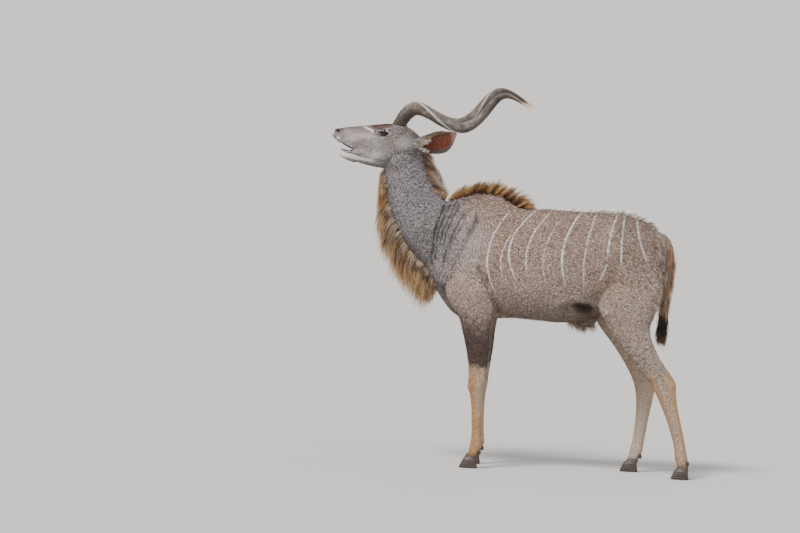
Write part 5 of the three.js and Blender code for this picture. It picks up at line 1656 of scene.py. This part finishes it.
def hoof_mesh(name, table, side):
    column = COLUMN[side]
    foot_x, foot_y = table[-1][column], side * table[-1][5]
    forms = [closed_loft(toe_grid(foot_x, foot_y, way)) for way in (-1, 1)]
    forms.append(closed_loft(ball((foot_x + 2, foot_y, 40), (27, 20, 22))))
    pastern = next(row for row in table if row[0] < 100)
    for way in (-1, 1):
        at = (pastern[column] + pastern[3] - 7, foot_y + way * 14, 82)
        forms.append(closed_loft(ball(at, (9, 8, 14), -24, 14, 18)))
    return array_mesh(name, *gather(forms))


# Operators


class KuduSkin(bpy.types.Operator):
    """Fuses the body's forms into one skin with folds, nostrils and eye openings"""

    bl_idname = "kudu.skin"
    bl_label = "Skin"

    def execute(self, context):
        mesh, forms = skin_mesh()
        dress_skin(mesh, BodyMap(forms))
        skin = place("kudu_skin", mesh, skin_material())
        parts = ("upper", "lower")
        legs = [f"{leg}_{word}_{part}" for leg in ("foreleg", "hindleg") for word, _ in SIDES for part in parts]
        hand_over(skin, "coat", "torso", "neck", "head", "tail", *legs)
        return {"FINISHED"}


# One piece for each zone of the skin
COAT_PIECES = ("coat_torso", "coat_neck", "coat_head", "coat_legs", "coat_haunch")
COAT_SEED, MANE_SEED, TAIL_SEED, LASH_SEED, EAR_SEED, EAR_FUR_SEED = 11, 4, 8, 15, 23, 31
EAR_FUR_DENSITY, EAR_FUR_WIDTH, EAR_FUR_LENGTH = 200000.0, 0.0018, 0.6
EDGE_STRANDS = 18


def grow_fur(name, mesh, zone, density, width, seed, finish):
    """The piece that tufts make over one zone of a dressed mesh."""
    tuft = tuft_object()
    values = {"Tuft": tuft, "Zone": zone, "Density": density, "Length": sizes().fur_length, "Width": width,
              "Lift": sizes().fur_lift, "Seed": seed, "Material": finish}
    made = grown(name, mesh, fur_tree(), values, finish)
    bpy.data.objects.remove(tuft)
    return made


class KuduCoat(bpy.types.Operator):
    """Grows short tufts over the skin along the lie of the coat"""

    bl_idname = "kudu.coat"
    bl_label = "Short Coat"

    def execute(self, context):
        skin = bpy.data.objects["kudu_skin"].data
        finish = coat_material()
        zone, cover = (numbers(skin.attributes[key].data, "value") for key in ("zone", "cover"))
        corner = whole_numbers(skin.loops, "vertex_index")[whole_numbers(skin.polygons, "loop_start")]
        area = numbers(skin.polygons, "area") * cover[corner]
        for number, name in enumerate(COAT_PIECES):
            mine = float(area[np.round(zone[corner]) == number].sum())
            density, seed = sizes().fur_tufts / mine, COAT_SEED + number
            hand_over(grow_fur(name, skin.copy(), number, density, sizes().fur_width, seed, finish), "coat")
        return {"FINISHED"}


def grow_locks(name, random, ground, roots, reaches, per_lock, spread, wave, hair, **shape):
    """Settles locks on the skin and hands over the piece that their strands make."""
    finish = long_hair_material(hair)
    roots = ground.settle(roots) - unit(reaches) * 0.003
    lines, thick, tone = locks(random, roots, reaches, per_lock, spread, 0.55, wave, **shape)
    hand_over(hair_piece(name, lines, thick, ground.patch(lines[:, 0]), tone, finish), "coat")


class KuduMane(bpy.types.Operator):
    """Hangs the fringe on the throat and sets the mane on nape, withers and spine"""

    bl_idname = "kudu.mane"
    bl_label = "Mane and Fringe"

    def execute(self, context):
        random = np.random.default_rng(MANE_SEED)
        ground = Ground(bpy.data.objects["kudu_skin"])
        for name, line, count, per_lock, width, spread, bend, hair in (
            ("fringe_front", "throat", 220, 26, 0.052, 0.009, (-0.1, 0, 0.05), "fringe"),
            ("fringe_tips", "throat", 70, 30, 0.016, 0.006, (-0.13, 0, 0.04), "fringe_tips"),
            ("nape_mane", "nape", 120, 28, 0.024, 0.008, (0.02, 0, 0.1), "nape"),
            ("withers_crest", "crest", 130, 32, 0.024, 0.006, (0, 0, 0.05), "crest"),
            ("spine_ridge", "spine", 150, 16, 0.01, 0.004, (0, 0, 0.08), "spine"),
        ):
            roots, reaches = line_locks(random, line, count, width)
            grow_locks(name, random, ground, roots, reaches, per_lock, spread, 0.05, hair, bend=bend)
        return {"FINISHED"}


class KuduTail(bpy.types.Operator):
    """Adds the long hair of tail, rump and sheath"""

    bl_idname = "kudu.tail"
    bl_label = "Tail Hair"

    def execute(self, context):
        random = np.random.default_rng(TAIL_SEED)
        ground = Ground(bpy.data.objects["kudu_skin"])
        # tan hair down the back and the sides of the tail
        count = 130
        z = np.linspace(1150, 820, count) + random.uniform(-6, 6, count)
        x = np.interp(z, [row[1] for row in TAIL[::-1]], [row[0] for row in TAIL[::-1]])
        angle = random.uniform(-np.pi, np.pi, count)
        roots = vectors(x + 26 * np.cos(angle), 24 * np.sin(angle), z) * MM
        reach = vectors(-3 + 9 * np.cos(angle), 5 * np.sin(angle), -84.0) * MM
        grow_locks("tail_hair", random, ground, roots, reach, 24, 0.006, 0.025, "tail_hair")
        # dark tuft at its end
        count = 80
        angle = random.uniform(-np.pi, np.pi, count)
        z = random.uniform(742, 812, count)
        roots = vectors(766 + 15 * np.cos(angle), 15 * np.sin(angle), z) * MM
        reach = vectors(8 * np.cos(angle), 10 * np.sin(angle), 662 - z + random.uniform(-8, 14, count)) * MM
        grow_locks("tail_tuft", random, ground, roots, reach, 30, 0.005, 0.04, "tail_tuft")
        # longer hair over the back edge of the rump and the thighs
        count = 150
        z = np.concatenate([random.uniform(1090, 1215, count // 2), random.uniform(850, 1090, count // 2)])
        x = np.interp(z, (850, 1000, 1090, 1215), (716, 742, 748, 738)) - random.uniform(0, 26, count)
        side = random.choice([-1, 1], count)
        roots = vectors(x, side * random.uniform(50, 130, count), z) * MM
        back = random.uniform(18, 30, count) + 12 * (z < 1010)
        reach = vectors(back, -side * 4, random.uniform(-40, -24, count)) * MM
        grow_locks("rump_hair", random, ground, roots, reach, 14, 0.007, 0.05, "rump_hair")
        # pale hair under the belly
        count = 34
        x = random.uniform(290, 430, count)
        roots = vectors(x, random.uniform(-14, 14, count), 735.0) * MM
        reach = vectors(random.uniform(4, 22, count), random.normal(0, 4, count), random.uniform(-52, -24, count)) * MM
        grow_locks("sheath_hair", random, ground, roots, reach, 14, 0.011, 0.06, "pale_hair")
        return {"FINISHED"}


class KuduEyes(bpy.types.Operator):
    """Sets the eyeballs, their lids and the lashes"""

    bl_idname = "kudu.eyes"
    bl_label = "Eyes"

    def execute(self, context):
        random = np.random.default_rng(LASH_SEED)
        eye, rim, lash = eye_material(), rim_material(), long_hair_material("lash")
        for word, side in SIDES:
            upper = eye_pieces(word, side, eye, rim)
            count = 90
            at = upper[random.integers(0, len(upper), count)]
            reach = vectors(random.normal(-0.004, 0.002, count), side * random.uniform(0.008, 0.012, count),
                            random.uniform(-0.006, 0.0, count))
            t = np.linspace(0, 1, 5)[None, :, None]
            lines = at[:, None] + reach[:, None] * t + np.array([0, 0, 0.004]) * t * t
            thick = np.repeat(np.linspace(0.3, 0.08, 5)[None], count, 0)
            patch = vectors(*random.uniform(0, 1, (count, 2)).T, 0)
            hand_over(hair_piece(f"eye_{word}_lashes", lines, thick, patch, np.zeros(count), lash), "coat")
        return {"FINISHED"}


class KuduEars(bpy.types.Operator):
    """Shapes the ears as thin cups with fur outside and a white fringe in front"""

    bl_idname = "kudu.ears"
    bl_label = "Ears"

    def execute(self, context):
        random = np.random.default_rng(EAR_SEED)
        finish = ear_material()
        white, tan = long_hair_material("ear_fringe"), long_hair_material("ear_edge")
        coat = bpy.data.materials["kudu_coat"]
        for word, side in SIDES:
            mesh, lie, cup = ear_shell(word, side)
            hand_over(place(f"ear_{word}_shell", mesh, finish), "ear", f"ear_{word}")
            copy = mesh.copy()
            chart = np.array(CHARTS[f"ear_{word}"])
            keep(copy, "CORNER", patch=on_chart(chart, *numbers(copy.attributes["OFBake"].data, "vector", 2).T))
            flat = across_normals(lie, numbers(mesh.vertices, "normal", 3))
            keep(copy, lie=flat, fur=0 * cup + EAR_FUR_LENGTH, cover=1 - cup, zone=0 * cup)
            seed = EAR_FUR_SEED + side
            hand_over(grow_fur(f"ear_{word}_fur", copy, 0, EAR_FUR_DENSITY, EAR_FUR_WIDTH, seed, coat), "ear")
            for kind, count, low_t, high_t, edge, reach, fall, paint in (
                ("fringe", 38, 0.04, 0.34, -0.9, 0.036, 0.02, white),
                ("lower", 10, 0.06, 0.26, 0.96, 0.02, -0.01, white),
                ("edge", 34, 0.1, 0.72, -1.0, 0.036, 0.004, tan),
            ):
                lines, thick, tone, t = self.edge_hair(random, side, count, low_t, high_t, edge, reach, fall)
                patch = np.repeat(on_chart(chart, t, 0.5 + 0.4 * edge), EDGE_STRANDS, 0)
                hand_over(hair_piece(f"ear_{word}_{kind}", lines, thick, patch, tone, paint), "ear")
        return {"FINISHED"}

    def edge_hair(self, random, side, count, low_t, high_t, edge, reach, fall):
        """Hair from one edge of the cup, laid along the ear and across it, and each lock's share along."""
        root, length, along, face, wide = ear_frame(side)
        t = random.uniform(low_t, high_t, count)
        columns = np.array(EAR_STATIONS, float).T
        half, deep, degrees, sag = (np.interp(t, columns[0], column) for column in columns[1:])
        spread = np.radians(degrees) * edge
        start = root + along * (length * t)[:, None] + wide * ((sag + np.sin(spread) * (half - 2)) * MM)[:, None]
        start = start - face * (np.cos(spread) * (deep - 2) * MM)[:, None]
        way = along * reach * random.uniform(0.7, 1.2, (count, 1)) + wide * fall * random.uniform(0.5, 1.3, (count, 1))
        lines, thick, tone = locks(random, start, way + face * 0.004, EDGE_STRANDS, 0.005, 0.6, 0.05)
        return lines, thick * 0.8, tone, t


class KuduHorns(bpy.types.Operator):
    """Sweeps the spiral horns, with keel and wrinkled roots"""

    bl_idname = "kudu.horns"
    bl_label = "Horns"

    def execute(self, context):
        finish = horn_material()
        for word, side in SIDES:
            t = np.linspace(0, 1, 300)
            points, radial = horn_line(side, t)
            start = points[0] + np.array([0, -6 * side, -26]) * MM
            points, radial = np.vstack([start, points]), np.vstack([radial[0], radial])
            radius = np.maximum(HORN_RADIUS * (1 - 0.75 * t**2) * np.sqrt(np.maximum(1 - t**12, 0)), 1.5) * MM
            mesh = line_mesh("horn", points[None], thick=np.concatenate([radius[:1], radius]),
                             along=np.concatenate([[0.0], t]), radial=radial)
            made = grown(f"horn_{word}_sheath", mesh, horn_tree(), {"Sides": 48, "Material": finish}, finish)
            wrap_uv(made.data, *(numbers(made.data.attributes[key].data, "value") for key in ("along", "around")))
            hand_over(made, "horn", f"horn_{word}")
        return {"FINISHED"}


class KuduHooves(bpy.types.Operator):
    """Shapes the cloven hooves and the dewclaws"""

    bl_idname = "kudu.hooves"
    bl_label = "Hooves"

    def execute(self, context):
        finish = hoof_material()
        for leg, table in (("fore", FORELEG), ("hind", HINDLEG)):
            for word, side in SIDES:
                name = f"hoof_{leg}_{word}"
                mesh = hoof_mesh(f"{name}_toes", table, side)
                hand_over(place(f"{name}_toes", mesh, finish), "hoof", name)
        return {"FINISHED"}


class KuduMouth(bpy.types.Operator):
    """Lays the tongue in the open mouth"""

    bl_idname = "kudu.mouth"
    bl_label = "Mouth"

    def execute(self, context):
        tongue = array_mesh("tongue", *closed_loft(ball((-852, 0, 1540), (34, 17, 7), 16, 28, 32)))
        hand_over(place("tongue", tongue, tongue_material()), "coat")
        skin = bpy.data.objects["kudu_skin"].data
        for name in ("lie", "fur", "cover", "zone", "patch"):
            skin.attributes.remove(skin.attributes[name])
        return {"FINISHED"}


# Lights: name, place, strength, angle in degrees and colour
LIGHTS = (
    ("light_sun", (-3.0, -4.4, 7.6), 4.3, 16, (1.0, 0.97, 0.93)),
    ("light_fill", (6.0, -5.0, 4.0), 0.4, 60, (0.93, 0.96, 1.0)),
)
SKY = 1.0
FLOOR_RADII = (0.01, 3, 8, 20, 60, 200, 600)
CAMERA_AT = Vector((0.90465745, -23.90531136, 2.23220961))
CAMERA_AZIMUTH, CAMERA_ELEVATION, CAMERA_ROLL = 3.5, 3.0, 2.8
CAMERA_LENS = 216


class KuduStage(bpy.types.Operator):
    """Adds the pale floor, the soft lights, the surroundings and the camera"""

    bl_idname = "kudu.stage"
    bl_label = "Stage"

    def execute(self, context):
        scene = context.scene
        angle = np.linspace(0, 2 * np.pi, 96, endpoint=False)
        radii = np.array(FLOOR_RADII)[:, None]
        grid = vectors(radii * np.cos(angle), radii * np.sin(angle), 0)
        mesh = array_mesh("floor", grid.reshape(-1, 3), grid_faces(*grid.shape[:2]))
        place("floor", mesh, floor_material())
        for name, at, energy, size, tint in LIGHTS:
            light = bpy.data.lights.new(name, "SUN")
            light.energy, light.color, light.angle = energy, tint, math.radians(size)
            lamp = bpy.data.objects.new(name, light)
            lamp.location = at
            lamp.rotation_euler = (-Vector(at)).to_track_quat("-Z", "Y").to_euler()
            scene.collection.objects.link(lamp)
        world = scene.world or bpy.data.worlds.new("studio")
        scene.world = world
        world.use_nodes = True
        shade = world.node_tree.nodes["Background"]
        shade.inputs["Color"].default_value = (1, 0.995, 0.985, 1)
        shade.inputs["Strength"].default_value = SKY
        scene.camera = self.camera(scene)
        return {"FINISHED"}

    def camera(self, scene):
        a, e, r = (math.radians(v) for v in (CAMERA_AZIMUTH, CAMERA_ELEVATION, CAMERA_ROLL))
        back = Vector((math.sin(a) * math.cos(e), -math.cos(a) * math.cos(e), math.sin(e)))
        right = Vector((math.cos(a), math.sin(a), 0))
        up = right.cross(-back)
        turned = right * math.cos(r) + up * math.sin(r)
        upright = up * math.cos(r) - right * math.sin(r)
        data = bpy.data.cameras.new("camera")
        data.lens, data.sensor_width, data.clip_end = CAMERA_LENS, 36, 2000
        camera = bpy.data.objects.new("camera", data)
        camera.matrix_world = Matrix((turned, upright, back)).transposed().to_4x4()
        camera.location = CAMERA_AT
        scene.collection.objects.link(camera)
        return camera


class KUDU_PT_panel(bpy.types.Panel):
    """Lists the sizes, the colours and the steps"""

    bl_label = "Greater Kudu"
    bl_idname = "KUDU_PT_panel"
    bl_space_type = "VIEW_3D"
    bl_region_type = "UI"
    bl_category = "Kudu"

    def draw(self, context):
        for step in STEPS:
            self.layout.operator(step.bl_idname)
        for settings in (context.scene.kudu_sizes, context.scene.kudu_colours):
            column = self.layout.column()
            for name in settings.bl_rna.properties.keys():
                if name not in ("rna_type", "name"):
                    column.prop(settings, name)


STEPS = (KuduSkin, KuduCoat, KuduMane, KuduTail, KuduEyes, KuduEars, KuduHorns, KuduHooves, KuduMouth, KuduStage)
CLASSES = (KuduSizes, KuduColours, *STEPS, KUDU_PT_panel)


def register():
    for made in CLASSES:
        bpy.utils.register_class(made)
    bpy.types.Scene.kudu_sizes = bpy.props.PointerProperty(type=KuduSizes)
    bpy.types.Scene.kudu_colours = bpy.props.PointerProperty(type=KuduColours)


def unregister():
    del bpy.types.Scene.kudu_colours, bpy.types.Scene.kudu_sizes
    for made in reversed(CLASSES):
        bpy.utils.unregister_class(made)


def main():
    register()
    for step in STEPS:
        getattr(bpy.ops.kudu, step.bl_idname.split(".")[1])()


if __name__ == "__main__":
    main()
